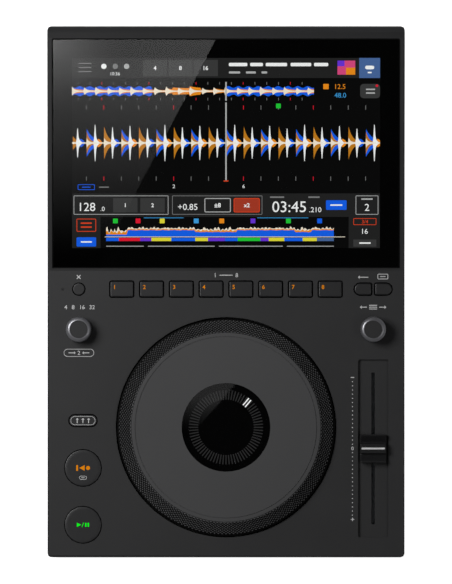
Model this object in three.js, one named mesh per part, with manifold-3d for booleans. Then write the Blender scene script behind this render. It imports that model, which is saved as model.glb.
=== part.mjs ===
// Tabletop media player for a DJ booth: a flat deck with a large jog wheel, pads, push buttons, two
// turn-and-push knobs and a long tempo fader, and behind it a raised section with a tilted touch
// screen. A jack bay is set into the rear. Millimetres, +Z up, +X to the right, +Y to the rear; the
// origin is on the table, under the middle of the outline.

import * as THREE from "three";
import { mergeVertices } from "three/addons/utils/BufferGeometryUtils.js";
import Module from "manifold-3d";

const wasm = await Module();
wasm.setup();

// Clearances and cutting
const SEAT_GAP = 0.3; // between pieces that rest on each other or turn in each other
const OVERRUN = 1; // how far a cutter runs past the wall that it cuts
const WELD = 0.2; // how far a rib, post or sleeve runs into the wall that carries it
const MERGED = 0.0001; // points closer than this are one

// Jog wheel, from the well outwards and upwards
const WELL_RADIUS = 77.9;
const JOG_RUNNING_GAP = 1.2;
const JOG_RISE = 13; // platter above the deck
const KNURL_BAND = 10; // width of the knurled slope, seen from above
const KNURL_DROP = 9; // how far that slope falls
const KNURL_DEPTH = 0.55;
const RING_SHOULDER = 1.1; // rounding between slope and upright side
const RING_SINK = 5; // how far the dial reaches below the deck
const RING_WALL = 3.1;
const RING_TOP_WALL = 2.5;
const RING_SEAT_WIDTH = 7;
const PLATTER_THICKNESS = 2;
const PLATTER_PROUD = 0.7; // platter above the dial's rim
const GROOVE_INSET = 2.8; // platter rim to the fine turned line
const GROOVE_WIDTH = 0.6;
const GROOVE_DEPTH = 0.4;
const WINDOW_RADIUS = 31.5;
const WINDOW_THICKNESS = 1.6;
const WINDOW_LEDGE = 1.3;
const PLATTER_COLLAR_WIDTH = 3.4;
const PLATTER_COLLAR_DEPTH = 1.4;
const ROUND_DISPLAY_INSET = 1.9;
const ROUND_DISPLAY_THICKNESS = 5.6;
const ROUND_DISPLAY_GAP = 0.7; // air between the round display and its window
const TOWER_RADIUS = 20;
const TOWER_WALL = 4;
const BUSHING_WALL = 4;
const BUSHING_FLANGE_WIDTH = 3.2;
const BUSHING_FLANGE_THICKNESS = 2;
const RETAINER_WIDTH = 7.2;
const RETAINER_THICKNESS = 1.5;
const HUB_SLEEVE_WALL = 3.4;
const HUB_WEB_RISE = 4.4; // web above the foot of the sleeve
const HUB_WEB_THICKNESS = 2.4;
const HUB_RIM_WALL = 3.2;
const HUB_RIB_THICKNESS = 1.8;
const HUB_RIB_HEIGHT = 4;
const ENCODER_RADIUS = 57.4;
const ENCODER_WALL = 1.4;
const ENCODER_SLOT_WIDTH = 9;
const ENCODER_BAND = 1.2;
const JOG_FLOOR_DEPTH = 15.6; // deck underside to the floor of the jog's tub
const TUB_WALL = 2.4;
const TUB_CLEARANCE = 1.6; // well edge to the tub's inner wall
const TUB_FLANGE = 3;
const SENSOR_WIDTH = 7;
const SENSOR_ARM = 1.8;
const SENSOR_BASE = 1.5;
const SENSOR_RISE = 5.4;
const SENSOR_CLEARANCE = 0.7;

// Housing
const WALL = 2.4;
const DECK_HEIGHT = 46;
const FOOT_HEIGHT = 6;
const FRONT_MARGIN = 13.9; // front edge to the jog well
const SIDE_COLUMN = 48; // jog well to the side edge
const JOG_TO_PADS = 13.3;
const PADS_TO_FOLD = 6.8;
const CORNER_RADIUS = 3;
const EDGE_ROUND = 1;
const PROFILE_ROUND = 1.6;
const RIDGE_ROUND = 2.4;
const REAR_SLOPE_DEPTH = 5.9;
const REAR_SLOPE_DROP = 5.4;
const RIDGE_STRIP = 2.7; // behind the glass, up to the ridge
const TRAY_RISE = 12; // tray wall, from its underside to the split
const TRAY_INSET = 1;
const TRAY_EDGE = 1.6;
const SHADOW_GAP = 0.4;
const LIP_HEIGHT = 4;
const LIP_WALL = 1.4;
const SCREW_INSET_X = 8.4;
const SCREW_INSET_Y = 8.3;
const MID_SCREW_FROM_FOLD = 25;
const SCREW_BOSS_RADIUS = 3.9;
const SCREW_HOLE_RADIUS = 1.8;
const SCREW_BORE_DEPTH = 12;
const BOSS_SPLIT_RISE = 6; // bosses meet above the tray's edge
const SCREW_HEAD_RADIUS = 2.7;
const SCREW_HEAD_HEIGHT = 2;
const SCREW_SUNK = 3; // head below the underside
const SCREW_REACH = 8; // thread in the upper boss
const LAMP_RADIUS = 0.6;
const LAMP_FLANGE = 0.9;
const LAMP_FROM_EDGE = 10.8;
const LAMP_FLANGE_THICKNESS = 1.2;

// Screen section; lengths run along the slope
const TILT = THREE.MathUtils.degToRad(9.2);
const SCREEN_LENGTH = 164.7;
const SCREEN_SIDE_RIM = 3.65;
const SCREEN_GAP = 0.5;
const GLASS_THICKNESS = 2;
const GLASS_SUNK = 0.1;
const GLASS_CORNER = 0.9;
const GLASS_EDGE = 0.25;
const PANEL_SIDE_BORDER = 7.6;
const PANEL_FRONT_BORDER = 9;
const PANEL_REAR_BORDER = 7.4;
const PANEL_THICKNESS = 5;
const PANEL_OPENING_GAP = 0.5;
const BRACKET_SHEET = 1;
const BRACKET_FLANGE = 4;
const BRACKET_WINDOW_LENGTH = 50;
const BRACKET_WINDOW_WIDTH = 70;

// Push buttons
const BUTTON_GAP = 0.8;
const BUTTON_FLANGE = 0.8; // flange past the edge of the hole
const BUTTON_FLANGE_THICKNESS = 1.2;
const BUTTON_EDGE = 0.5;
const STEM_RADIUS = 1.8;
const PAD_COUNT = 8;
const PAD_PITCH = 21;
const PAD_WIDTH = 16.3;
const PAD_LENGTH = 10.8;
const PAD_CORNER = 0.8;
const PAD_RISE = 1;
const PAD_TRAVEL = 0.8;
const COLUMN_INSET = 22.1; // side edge to the knobs' axes
const PADS_TO_COLUMN = 22.1; // end of the pad row to the knobs' axes, at least
const SMALL_BUTTON_RADIUS = 4;
const SMALL_BUTTON_RISE = 1;
const SMALL_BUTTON_TRAVEL = 0.5;
const TWIN_WIDTH = 11.9;
const TWIN_LENGTH = 8;
const TWIN_DIVIDER = 1;
const TWIN_CORNER = 1;
const BIG_COLUMN_INSET = 25; // side edge to the axes of the large buttons
const BIG_BUTTON_RADIUS = 12.8;
const BIG_BUTTON_GAP = 0.6;
const BIG_BUTTON_RISE = 1.2;
const BIG_BUTTON_TRAVEL = 1;
const PLAY_FROM_FRONT = 23;
const CUE_FROM_FRONT = 63.1;
const SHIFT_FROM_FRONT = 96.5;
const SHIFT_WIDTH = 19.2;
const SHIFT_LENGTH = 7.8;
const SHIFT_RISE = 1.4;

// Knobs and their encoders
const KNOBS_FROM_FOLD = 41.4;
const KNOB_RADIUS = 9;
const KNOB_TOP_RADIUS = 8.1;
const KNOB_FACE_RADIUS = 6;
const KNOB_HEIGHT = 14;
const KNOB_CHAMFER = 2.1;
const KNOB_FACE_SUNK = 0.4;
const KNOB_HOVER = 0.9; // skirt above the deck
const KNOB_FLUTES = 12;
const KNOB_FLUTE_DEPTH = 0.35;
const KNOB_HOLLOW_RADIUS = 6.2;
const KNOB_CROWN = 4.2; // solid part under the face
const KNOB_TRAVEL = 0.5;
const SHAFT_RADIUS = 1.9;
const SHAFT_FLAT = 1.2;
const SHAFT_GAP = 0.3;
const ROTOR_DISC_RADIUS = 4.6;
const ROTOR_SLEEVE_RADIUS = 3.2;
const ROTOR_DISC_HEIGHT = 4.2;
const ROTOR_SLEEVE_RISE = 3; // sleeve above the deck
const ENCODER_BODY_SIDE = 12;
const ENCODER_BODY_FLOOR = 1.2;
const KNOB_HOLE_RADIUS = 5;

// Tempo fader
const FADER_TRAVEL = 100;
const FADER_FROM_FRONT = 14.1;
const FADER_END_ROOM = 2.8;
const FADER_CAP_LENGTH = 19.9;
const FADER_CAP_WIDTH = 17.6;
const FADER_SIDE_ROOM = 1.9;
const FADER_CORNER = 1.2;
const FADER_CAP_HOVER = 0.8;
const FADER_RIDGE_HEIGHT = 8.6;
const FADER_END_HEIGHT = 7;
const FADER_VALLEY_HEIGHT = 4.9;
const FADER_RIDGE_WIDTH = 6.6;
const FADER_RIDGE_FOOT = 8.2;
const FADER_END_FLAT = 0.9;
const FADER_CAP_EDGE = 0.5;
const FADER_SLOT_WIDTH = 2.4;
const FADER_SLOT_ROOM = 0.8;
const FADER_PANEL_THICKNESS = 2;
const FADER_PANEL_MARGIN = 1.6;
const LEVER_THICKNESS = 1.2;
const LEVER_WIDTH = 5.5;
const LEVER_REACH = 4; // lever inside the cap
const CARRIAGE_WIDTH = 8.2;
const CARRIAGE_LENGTH = 12;
const CARRIAGE_HEIGHT = 5;
const CHANNEL_WALL = 1.2;
const CHANNEL_HEIGHT = 10;
const CHANNEL_END_ROOM = 3;
const CHANNEL_SIDE_ROOM = 0.5;

// Boards inside
const BOARD_THICKNESS = 1.6;
const CONTROL_BOARD_DROP = 7.6; // deck underside to the board's face
const CONTROL_BOARD_INSET = 13.9;
const CONTROL_WING_WIDTH = 24;
const CONTROL_STRIP_FRONT = 11; // strip in front of the pad row's axis
const CONTROL_STRIP_REAR = 10;
const LEFT_WING_FRONT = 9.2;
const RIGHT_WING_BELOW_KNOB = 13.6;
const BOARD_POST_RADIUS = 2.2;
const SWITCH_SIDE = 6;
const SWITCH_HEIGHT = 3;
const MAIN_BOARD_RISE = 10.7; // tray floor to the board's underside
const MAIN_BOARD_LEFT = 58;
const MAIN_BOARD_RIGHT = 102;
const MAIN_BOARD_LENGTH = 150;
const STANDOFF_RADIUS = 3;
const STANDOFF_INSET = 8;
const SUPPLY_RISE = 3.6;
const SUPPLY_WIDTH = 50;
const SUPPLY_LENGTH = 96;
const SUPPLY_FROM_PANEL = 30;
const SUPPLY_GAP = 4; // between the two boards

// Jack bay
const BAY_SIDE_MARGIN = 17.9;
const BAY_HEIGHT = 34;
const BAY_DEPTH = 10.5;
const JACK_PANEL_THICKNESS = 2;
const SHELF_THICKNESS = 2.4;
const JACK_GAP = 0.3;
const POWER_FROM_SIDE = 15;
const POWER_RADIUS = 6;
const POWER_FLUSH = 0.2; // cap above its panel when it is pressed
const POWER_TRAVEL = 1.1;
const POWER_FLANGE = 1.5;
const POWER_STEM_LENGTH = 9;
const INLET_FROM_POWER = 27;
const INLET_WIDTH = 22;
const INLET_HEIGHT = 14;
const INLET_LENGTH = 18;
const INLET_FLANGE = 1.4;
const INLET_FLANGE_THICKNESS = 1;
const INLET_MOUTH_WIDTH = 17.4;
const INLET_MOUTH_HEIGHT = 8.8;
const INLET_DEPTH = 12;
const INLET_PIN_RADIUS = 1.2;
const INLET_PIN_PITCH = 8.6;
const INLET_PIN_LENGTH = 9;
const LAN_X = 6;
const LAN_WIDTH = 16;
const LAN_HEIGHT = 13.6;
const LAN_LENGTH = 19;
const LAN_MOUTH_WIDTH = 11.9;
const LAN_MOUTH_HEIGHT = 7.4;
const LAN_KEY_WIDTH = 6.2;
const LAN_KEY_HEIGHT = 2;
const LAN_DEPTH = 13;
const USB_A_X = -18;
const USB_A_WIDTH = 14;
const USB_A_HEIGHT = 6.6;
const USB_B_X = 30;
const USB_B_WIDTH = 12;
const USB_B_HEIGHT = 10.8;
const USB_LENGTH = 14;
const USB_SHELL = 0.8;
const USB_TONGUE_WIDTH = 5.6;
const USB_TONGUE_HEIGHT = 1.8;
const USB_DEPTH = 9;
const PHONO_X = 74;
const PHONO_PITCH = 14;
const PHONO_COUNT = 3;
const PHONO_RADIUS = 4.15;
const PHONO_BORE = 1.6;
const PHONO_REACH = 8;
const PHONO_BLOCK_HEIGHT = 14;
const PHONO_BLOCK_LENGTH = 12;
const PHONO_BORE_DEPTH = 11;

// Feet and vents
const FOOT_RADIUS = 10;
const FOOT_TOP_RADIUS = 9;
const FOOT_EDGE = 0.8;
const FOOT_STEM_RADIUS = 2.2;
const FOOT_STEM_REACH = 3;
const FOOT_INSET_X = 24;
const FOOT_INSET_Y = 26;
const VENT_COUNT = 6;
const VENT_WIDTH = 3;
const VENT_LENGTH = 30;
const VENT_PITCH = 8;
const VENT_FROM_MIDDLE = 62;
const VENT_Y = -48;

// Numbers of facets
const WHEEL_SIDES = 36;
const INNER_WHEEL_SIDES = 24;
const BUTTON_SIDES = 20;
const CROWN_SIDES = 16;
const SMALL_SIDES = 12;
const FOOT_SIDES = 10;
const STEM_SIDES = 8;
const HIDDEN_SIDES = 6;
const ARC_STEPS = 1;
const END_STEPS = 3;
const SHAFT_STEPS = 5;
const EDGE_STEPS = 1;
const KNURL_TEETH = 28;
const KNURL_ROWS = 4;
const ENCODER_SLOTS = 8;
const HUB_SPOKES = 6;

// Places that follow from the sizes above
const padRowEdge = ((PAD_COUNT - 1) * PAD_PITCH + PAD_WIDTH) / 2;
const halfWidth = Math.max(WELL_RADIUS + SIDE_COLUMN, padRowEdge + PADS_TO_COLUMN + COLUMN_INSET);
const padHoleLength = PAD_LENGTH + 2 * BUTTON_GAP;
const deckLength = FRONT_MARGIN + 2 * WELL_RADIUS + JOG_TO_PADS + padHoleLength + PADS_TO_FOLD;
const slopeDepth = (SCREEN_LENGTH + 2 * SCREEN_GAP) * Math.cos(TILT) + RIDGE_STRIP;
const halfDepth = (deckLength + slopeDepth + REAR_SLOPE_DEPTH) / 2;
const front = -halfDepth;
const foldY = front + deckLength;
const ridgeY = foldY + slopeDepth;
const ridgeZ = DECK_HEIGHT + slopeDepth * Math.tan(TILT);
const deckUnder = DECK_HEIGHT - WALL;
const trayBottom = FOOT_HEIGHT;
const trayFloor = trayBottom + WALL;
const trayTop = trayBottom + TRAY_RISE;
const caseBottom = trayTop + SHADOW_GAP;
const jogY = front + FRONT_MARGIN + WELL_RADIUS;
const padsY = foldY - PADS_TO_FOLD - padHoleLength / 2;
const knobsY = foldY - KNOBS_FROM_FOLD;
const columnX = halfWidth - COLUMN_INSET;
const bigColumnX = -(halfWidth - BIG_COLUMN_INSET);
const lampX = LAMP_FROM_EDGE - halfWidth;
const faderLength = FADER_TRAVEL + FADER_CAP_LENGTH + 2 * FADER_END_ROOM;
const faderWidth = FADER_CAP_WIDTH + 2 * FADER_SIDE_ROOM;
const faderY = front + FADER_FROM_FRONT + faderLength / 2;
const bayHalfWidth = halfWidth - BAY_SIDE_MARGIN;
const bayTop = trayTop + BAY_HEIGHT;
const bayBack = halfDepth - BAY_DEPTH;
const panelInner = bayBack - JACK_PANEL_THICKNESS;
const controlBoardFace = deckUnder - CONTROL_BOARD_DROP;
const bossSplit = trayTop + BOSS_SPLIT_RISE;
const mainBoardFace = trayFloor + MAIN_BOARD_RISE + BOARD_THICKNESS;
const jackFoot = mainBoardFace + SEAT_GAP;
const jackMiddle = jackFoot + PHONO_BLOCK_HEIGHT / 2;
const pocketDepth = GLASS_SUNK + GLASS_THICKNESS + SEAT_GAP;

const finish = {
  shell: plastic("#2e2e30", 0.62),
  tray: plastic("#1c1c1e", 0.75),
  key: plastic("#2b2b2d", 0.5),
  dial: plastic("#262628", 0.7),
  platter: metal("#404041", 0.55),
  knob: metal("#7c7c82", 0.35),
  glass: plastic("#050506", 0.06),
  display: plastic("#08090c", 0.3),
  steel: metal("#8d9094", 0.4),
  resin: plastic("#d8d6cd", 0.5),
  board: plastic("#17402c", 0.6),
  rubber: plastic("#111112", 0.9),
};

function plastic(color, roughness) {
  return new THREE.MeshStandardMaterial({ color, roughness, metalness: 0 });
}

function metal(color, roughness) {
  return new THREE.MeshStandardMaterial({ color, roughness, metalness: 0.9 });
}

// Solids from three.js geometry, and back

function solid(geometry) {
  const bare = new THREE.BufferGeometry();
  const loose = geometry.index ? geometry.toNonIndexed() : geometry;
  bare.setAttribute("position", loose.getAttribute("position"));
  const merged = mergeVertices(bare, MERGED);
  const corners = merged.index.array;
  const faces = [];
  for (let i = 0; i < corners.length; i += 3) {
    const [a, b, c] = [corners[i], corners[i + 1], corners[i + 2]];
    if (a !== b && b !== c && c !== a) faces.push(a, b, c);
  }
  const vertProperties = merged.attributes.position.array;
  const triVerts = new Uint32Array(faces);
  return new wasm.Manifold(new wasm.Mesh({ numProp: 3, vertProperties, triVerts }));
}

function geometryOf(made) {
  const { vertProperties, triVerts } = made.getMesh();
  const geometry = new THREE.BufferGeometry();
  geometry.setAttribute("position", new THREE.BufferAttribute(vertProperties, 3));
  geometry.setIndex(new THREE.BufferAttribute(triVerts, 1));
  geometry.computeVertexNormals();
  return geometry;
}

function join(...pieces) {
  return pieces.flat().reduce((whole, piece) => whole.add(piece));
}

function cut(whole, ...cutters) {
  return cutters.flat().reduce((left, cutter) => left.subtract(cutter), whole);
}

function piece(name, made, material) {
  const mesh = new THREE.Mesh(geometryOf(made), material);
  mesh.name = name;
  return mesh;
}

// Outlines

function roundedRect(width, length, radius) {
  const [x, y] = [width / 2, length / 2];
  const r = Math.min(radius, x, y);
  const shape = new THREE.Shape();
  shape.absarc(x - r, -y + r, r, -Math.PI / 2, 0);
  shape.absarc(x - r, y - r, r, 0, Math.PI / 2);
  shape.absarc(-x + r, y - r, r, Math.PI / 2, Math.PI);
  shape.absarc(-x + r, -y + r, r, Math.PI, Math.PI * 1.5);
  return shape;
}

function disc(radius) {
  return new THREE.Shape().absarc(0, 0, radius, 0, Math.PI * 2);
}

// A bar with one half-round end, which points to -X, and one square end.
function bullet(width, length, corner) {
  const [x, y] = [width / 2, length / 2];
  const shape = new THREE.Shape();
  shape.absarc(x - corner, -y + corner, corner, -Math.PI / 2, 0);
  shape.absarc(x - corner, y - corner, corner, 0, Math.PI / 2);
  shape.absarc(-x + y, 0, y, Math.PI / 2, Math.PI * 1.5);
  return shape;
}

// Round bar section with one flat, which faces +X.
function flattedDisc(radius, flat) {
  const start = Math.acos(flat / radius);
  return new THREE.Shape().absarc(0, 0, radius, start, Math.PI * 2 - start);
}

// Solids standing on a level, from bottom to top

function prism(shape, bottom, top, steps = ARC_STEPS) {
  const options = { depth: top - bottom, bevelEnabled: false, curveSegments: steps };
  return solid(new THREE.ExtrudeGeometry(shape, options).translate(0, 0, bottom));
}

// A prism whose two rims are rounded off.
function softPrism(shape, bottom, top, edge, steps = ARC_STEPS) {
  const options = {
    depth: top - bottom - 2 * edge,
    bevelEnabled: true,
    bevelThickness: edge,
    bevelSize: edge,
    bevelOffset: -edge,
    bevelSegments: EDGE_STEPS,
    curveSegments: steps,
  };
  return solid(new THREE.ExtrudeGeometry(shape, options).translate(0, 0, bottom + edge));
}

function block(x0, x1, y0, y1, z0, z1) {
  const geometry = new THREE.BoxGeometry(x1 - x0, y1 - y0, z1 - z0);
  return solid(geometry.translate((x0 + x1) / 2, (y0 + y1) / 2, (z0 + z1) / 2));
}

function rod(radius, bottom, top, sides = SMALL_SIDES) {
  const geometry = new THREE.CylinderGeometry(radius, radius, top - bottom, sides);
  return solid(geometry.rotateX(Math.PI / 2).translate(0, 0, (bottom + top) / 2));
}

// Revolves [radius, height] points, which run anticlockwise round the section, about +Z.
function turned(points, sides = WHEEL_SIDES) {
  const outline = points.map(([radius, height]) => new THREE.Vector2(radius, height));
  if (THREE.ShapeUtils.isClockWise(outline)) outline.reverse();
  outline.push(outline[0].clone());
  return solid(new THREE.LatheGeometry(outline, sides).rotateX(Math.PI / 2));
}

function ring(inner, outer, bottom, top, sides = WHEEL_SIDES) {
  return turned([[inner, bottom], [outer, bottom], [outer, top], [inner, top]], sides);
}

// Extrudes a (y, z) section along X, over the width given, about the middle.
function sideways(section, width, edge = 0) {
  const options = {
    depth: width - 2 * edge,
    bevelEnabled: edge > 0,
    bevelThickness: edge,
    bevelSize: edge,
    bevelOffset: -edge,
    bevelSegments: EDGE_STEPS,
    curveSegments: ARC_STEPS,
  };
  const geometry = new THREE.ExtrudeGeometry(section, options);
  geometry.translate(0, 0, -(width - 2 * edge) / 2);
  const turn = new THREE.Matrix4().makeBasis(
    new THREE.Vector3(0, 1, 0),
    new THREE.Vector3(0, 0, 1),
    new THREE.Vector3(1, 0, 0),
  );
  return solid(geometry.applyMatrix4(turn));
}

// Stands a solid that was made along +Z so that it points to the rear, its foot at the given place.
function rearwards(made, x, y, z) {
  return made.rotate([-90, 0, 0]).translate([x, y, z]);
}

function polygon(points) {
  return new THREE.Shape(points.map(([x, y]) => new THREE.Vector2(x, y)));
}

// Rounds the corner between two straight stretches of an outline that is being drawn.
function roundCorner(shape, before, corner, after, radius) {
  const towards = (from) => {
    const step = new THREE.Vector2().subVectors(from, corner).setLength(radius);
    return step.add(corner);
  };
  const [start, end] = [towards(before), towards(after)];
  shape.lineTo(start.x, start.y);
  shape.quadraticCurveTo(corner.x, corner.y, end.x, end.y);
}

// The tilted frame of the screen section: its origin is on the fold, its +Y runs up the slope.

const slope = new THREE.Group();
slope.position.set(0, foldY, DECK_HEIGHT);
slope.rotation.x = TILT;

function onSlope(made) {
  return made.rotate([THREE.MathUtils.radToDeg(TILT), 0, 0]).translate([0, foldY, DECK_HEIGHT]);
}

function slopeZ(y, depth) {
  return DECK_HEIGHT + (y - foldY) * Math.tan(TILT) - depth / Math.cos(TILT);
}

// Controls on the deck, each with its outline, its place and its travel

const padPlaces = Array.from({ length: PAD_COUNT }, (_, i) => (i - (PAD_COUNT - 1) / 2) * PAD_PITCH);
const twinPitch = TWIN_WIDTH + 2 * BUTTON_GAP + TWIN_DIVIDER;

const buttons = [
  ...padPlaces.map((x, i) => ({
    name: `hot_cue_button_${i + 1}`,
    outline: (grow) => roundedRect(PAD_WIDTH + 2 * grow, PAD_LENGTH + 2 * grow, PAD_CORNER + grow),
    gap: BUTTON_GAP,
    at: [x, padsY],
    rise: PAD_RISE,
    travel: PAD_TRAVEL,
  })),
  {
    name: "delete_button",
    outline: (grow) => disc(SMALL_BUTTON_RADIUS + grow),
    steps: BUTTON_SIDES / 2,
    flangeSteps: SMALL_SIDES / 2,
    gap: BUTTON_GAP,
    at: [-columnX, padsY],
    rise: SMALL_BUTTON_RISE,
    travel: SMALL_BUTTON_TRAVEL,
  },
  ...[-1, 1].map((side) => ({
    name: side < 0 ? "back_button" : "tag_button",
    outline: (grow) => bullet(TWIN_WIDTH + 2 * grow, TWIN_LENGTH + 2 * grow, TWIN_CORNER + grow),
    narrowFlange: true,
    steps: END_STEPS,
    turn: side < 0 ? 0 : 180,
    gap: BUTTON_GAP,
    at: [columnX + (side * twinPitch) / 2, padsY],
    rise: SMALL_BUTTON_RISE,
    travel: SMALL_BUTTON_TRAVEL,
  })),
  {
    name: "shift_button",
    outline: (grow) => roundedRect(SHIFT_WIDTH + 2 * grow, SHIFT_LENGTH + 2 * grow, SHIFT_LENGTH),
    steps: END_STEPS,
    gap: BUTTON_GAP,
    at: [bigColumnX, front + SHIFT_FROM_FRONT],
    rise: SHIFT_RISE,
    travel: SMALL_BUTTON_TRAVEL,
  },
  ...[["cue_button", CUE_FROM_FRONT], ["play_button", PLAY_FROM_FRONT]].map(([name, fromFront]) => ({
    name,
    outline: (grow) => disc(BIG_BUTTON_RADIUS + grow),
    steps: BUTTON_SIDES / 2,
    flangeSteps: SMALL_SIDES / 2,
    gap: BIG_BUTTON_GAP,
    at: [bigColumnX, front + fromFront],
    rise: BIG_BUTTON_RISE,
    travel: BIG_BUTTON_TRAVEL,
  })),
];

function turnAndPlace(made, button) {
  return made.rotate([0, 0, button.turn ?? 0]).translate([...button.at, 0]);
}

function stepsOf(button) {
  return button.steps ?? ARC_STEPS;
}

// A key: its cap stands a little above the deck, its flange stops under it, its stem meets a switch.
function buttonSolid(button) {
  const flangeTop = deckUnder - SEAT_GAP;
  const flangeBottom = flangeTop - BUTTON_FLANGE_THICKNESS;
  const capTop = DECK_HEIGHT + button.rise;
  const cap = softPrism(button.outline(0), flangeBottom, capTop, BUTTON_EDGE, stepsOf(button));
  const lower = cap.trimByPlane([0, 0, 1], flangeBottom + BUTTON_FLANGE_THICKNESS / 2);
  const flangeOutline = button.outline(button.gap + BUTTON_FLANGE);
  let flange = prism(flangeOutline, flangeBottom, flangeTop, button.flangeSteps ?? stepsOf(button));
  if (button.narrowFlange) {
    const reach = TWIN_WIDTH;
    flange = flange.intersect(
      block(-reach, TWIN_WIDTH / 2, -reach, reach, flangeBottom - OVERRUN, flangeTop + OVERRUN),
    );
  }
  const switchTop = controlBoardFace + SWITCH_HEIGHT;
  const stem = rod(STEM_RADIUS, switchTop + button.travel + SEAT_GAP, flangeBottom + WELD, HIDDEN_SIDES);
  return turnAndPlace(join(lower, flange, stem), button);
}

function buttonHole(button) {
  const hole = prism(button.outline(button.gap), deckUnder - OVERRUN, DECK_HEIGHT + OVERRUN, stepsOf(button));
  return turnAndPlace(hole, button);
}

// Housing

const screwPlaces = [
  ["front", front + SCREW_INSET_Y],
  ["mid", foldY - MID_SCREW_FROM_FOLD],
  ["rear", halfDepth - SCREW_INSET_Y],
].flatMap(([row, y]) => [-1, 1].map((side) => ({
  name: `case_screw_${row}_${side < 0 ? "left" : "right"}`,
  at: [side * (halfWidth - SCREW_INSET_X), y],
})));

const twinEdge = columnX - (twinPitch + TWIN_WIDTH) / 2;
const postX = (padRowEdge + twinEdge) / 2;
const controlBoardPosts = [
  [-postX, padsY],
  [postX, padsY],
  [columnX - CONTROL_WING_WIDTH / 2, knobsY],
  [bigColumnX, (front + SHIFT_FROM_FRONT + knobsY) / 2],
  [bigColumnX, front + (PLAY_FROM_FRONT + CUE_FROM_FRONT) / 2],
];

function outerSection() {
  const low = caseBottom - TRAY_RISE / 2;
  const corners = [
    [front, low],
    [front, DECK_HEIGHT],
    [foldY, DECK_HEIGHT],
    [ridgeY, ridgeZ],
    [halfDepth, ridgeZ - REAR_SLOPE_DROP],
    [halfDepth, low],
  ].map(([y, z]) => new THREE.Vector2(y, z));
  const shape = new THREE.Shape();
  shape.moveTo(corners[0].x, corners[0].y);
  roundCorner(shape, corners[0], corners[1], corners[2], PROFILE_ROUND);
  shape.lineTo(corners[2].x, corners[2].y);
  roundCorner(shape, corners[2], corners[3], corners[4], RIDGE_ROUND);
  roundCorner(shape, corners[3], corners[4], corners[5], PROFILE_ROUND);
  shape.lineTo(corners[5].x, corners[5].y);
  return shape;
}

function innerSection() {
  const low = caseBottom - OVERRUN;
  const depth = pocketDepth + WALL;
  const foldWall = foldY - WALL;
  const ridgeWall = ridgeY - WALL;
  return polygon([
    [front + WALL, low],
    [front + WALL, deckUnder],
    [foldWall, deckUnder],
    [foldWall, slopeZ(foldWall, depth)],
    [ridgeWall, slopeZ(ridgeWall, depth)],
    [halfDepth - WALL, ridgeZ - REAR_SLOPE_DROP - WALL],
    [halfDepth - WALL, low],
  ]);
}

// The roof and the two cheeks of the jack bay.
function jackBayHood() {
  const [outer, rear] = [bayHalfWidth + WALL, halfDepth - WALL];
  return cut(
    block(-outer, outer, panelInner, rear + WELD, caseBottom, bayTop + WALL),
    block(-bayHalfWidth, bayHalfWidth, panelInner - OVERRUN, rear + OVERRUN, caseBottom - OVERRUN, bayTop),
  );
}

function topCase() {
  const blank = sideways(outerSection(), 2 * halfWidth, EDGE_ROUND);
  const outline = roundedRect(2 * halfWidth + WELD, 2 * halfDepth + WELD, CORNER_RADIUS);
  const shell = blank.intersect(prism(outline, caseBottom, ridgeZ + OVERRUN));
  const hollow = sideways(innerSection(), 2 * (halfWidth - WALL));
  const bosses = screwPlaces.map(({ at: [x, y] }) => {
    const roof = y < foldY ? deckUnder : bayTop + WALL;
    const boss = rod(SCREW_BOSS_RADIUS, bossSplit, roof + WELD, STEM_SIDES);
    const bore = rod(SCREW_HOLE_RADIUS, bossSplit - OVERRUN, bossSplit + SCREW_BORE_DEPTH, STEM_SIDES);
    return cut(boss, bore).translate([x, y, 0]);
  });
  const rearPads = [-1, 1].map((side) => {
    const middle = side * (halfWidth - SCREW_INSET_X);
    const reach = SCREW_INSET_X - WALL + WELD;
    const y = halfDepth - SCREW_INSET_Y;
    return block(
      middle - reach, middle + reach, y - SCREW_BOSS_RADIUS, halfDepth - WALL + WELD, bayTop, bayTop + WALL,
    );
  });
  const posts = controlBoardPosts.map(([x, y]) =>
    rod(BOARD_POST_RADIUS, controlBoardFace + SEAT_GAP, deckUnder + WELD, HIDDEN_SIDES).translate([x, y, 0]));
  const pocket = prism(
    roundedRect(glassWidth() + 2 * SCREEN_GAP, SCREEN_LENGTH + 2 * SCREEN_GAP, GLASS_CORNER + SCREEN_GAP),
    -pocketDepth, ridgeZ,
  ).translate([0, SCREEN_LENGTH / 2 + SCREEN_GAP, 0]);
  const opening = prism(
    roundedRect(panelWidth() + 2 * PANEL_OPENING_GAP, panelLength() + 2 * PANEL_OPENING_GAP, GLASS_CORNER),
    -pocketDepth - 2 * WALL, 0,
  ).translate([0, panelMiddle(), 0]);
  const rear = [halfDepth - WALL - OVERRUN, halfDepth + OVERRUN];
  const bayMouth = block(-bayHalfWidth, bayHalfWidth, ...rear, caseBottom - OVERRUN, bayTop);
  const through = [deckUnder - OVERRUN, DECK_HEIGHT + OVERRUN];
  const well = rod(WELL_RADIUS, ...through, WHEEL_SIDES).translate([0, jogY, 0]);
  const knobHoles = [-columnX, columnX].map((x) =>
    rod(KNOB_HOLE_RADIUS, ...through).translate([x, knobsY, 0]));
  const faderMouth = prism(roundedRect(faderWidth, faderLength, FADER_CORNER), ...through)
    .translate([columnX, faderY, 0]);
  const lampHole = rod(LAMP_RADIUS + SEAT_GAP, ...through, STEM_SIDES).translate([lampX, padsY, 0]);
  const body = join(cut(shell, hollow), jackBayHood(), rearPads, bosses, posts);
  const made = cut(
    body, onSlope(pocket), onSlope(opening), bayMouth, well, knobHoles, faderMouth, lampHole,
    buttons.map(buttonHole),
  );
  return piece("top_case", made, finish.shell);
}

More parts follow.
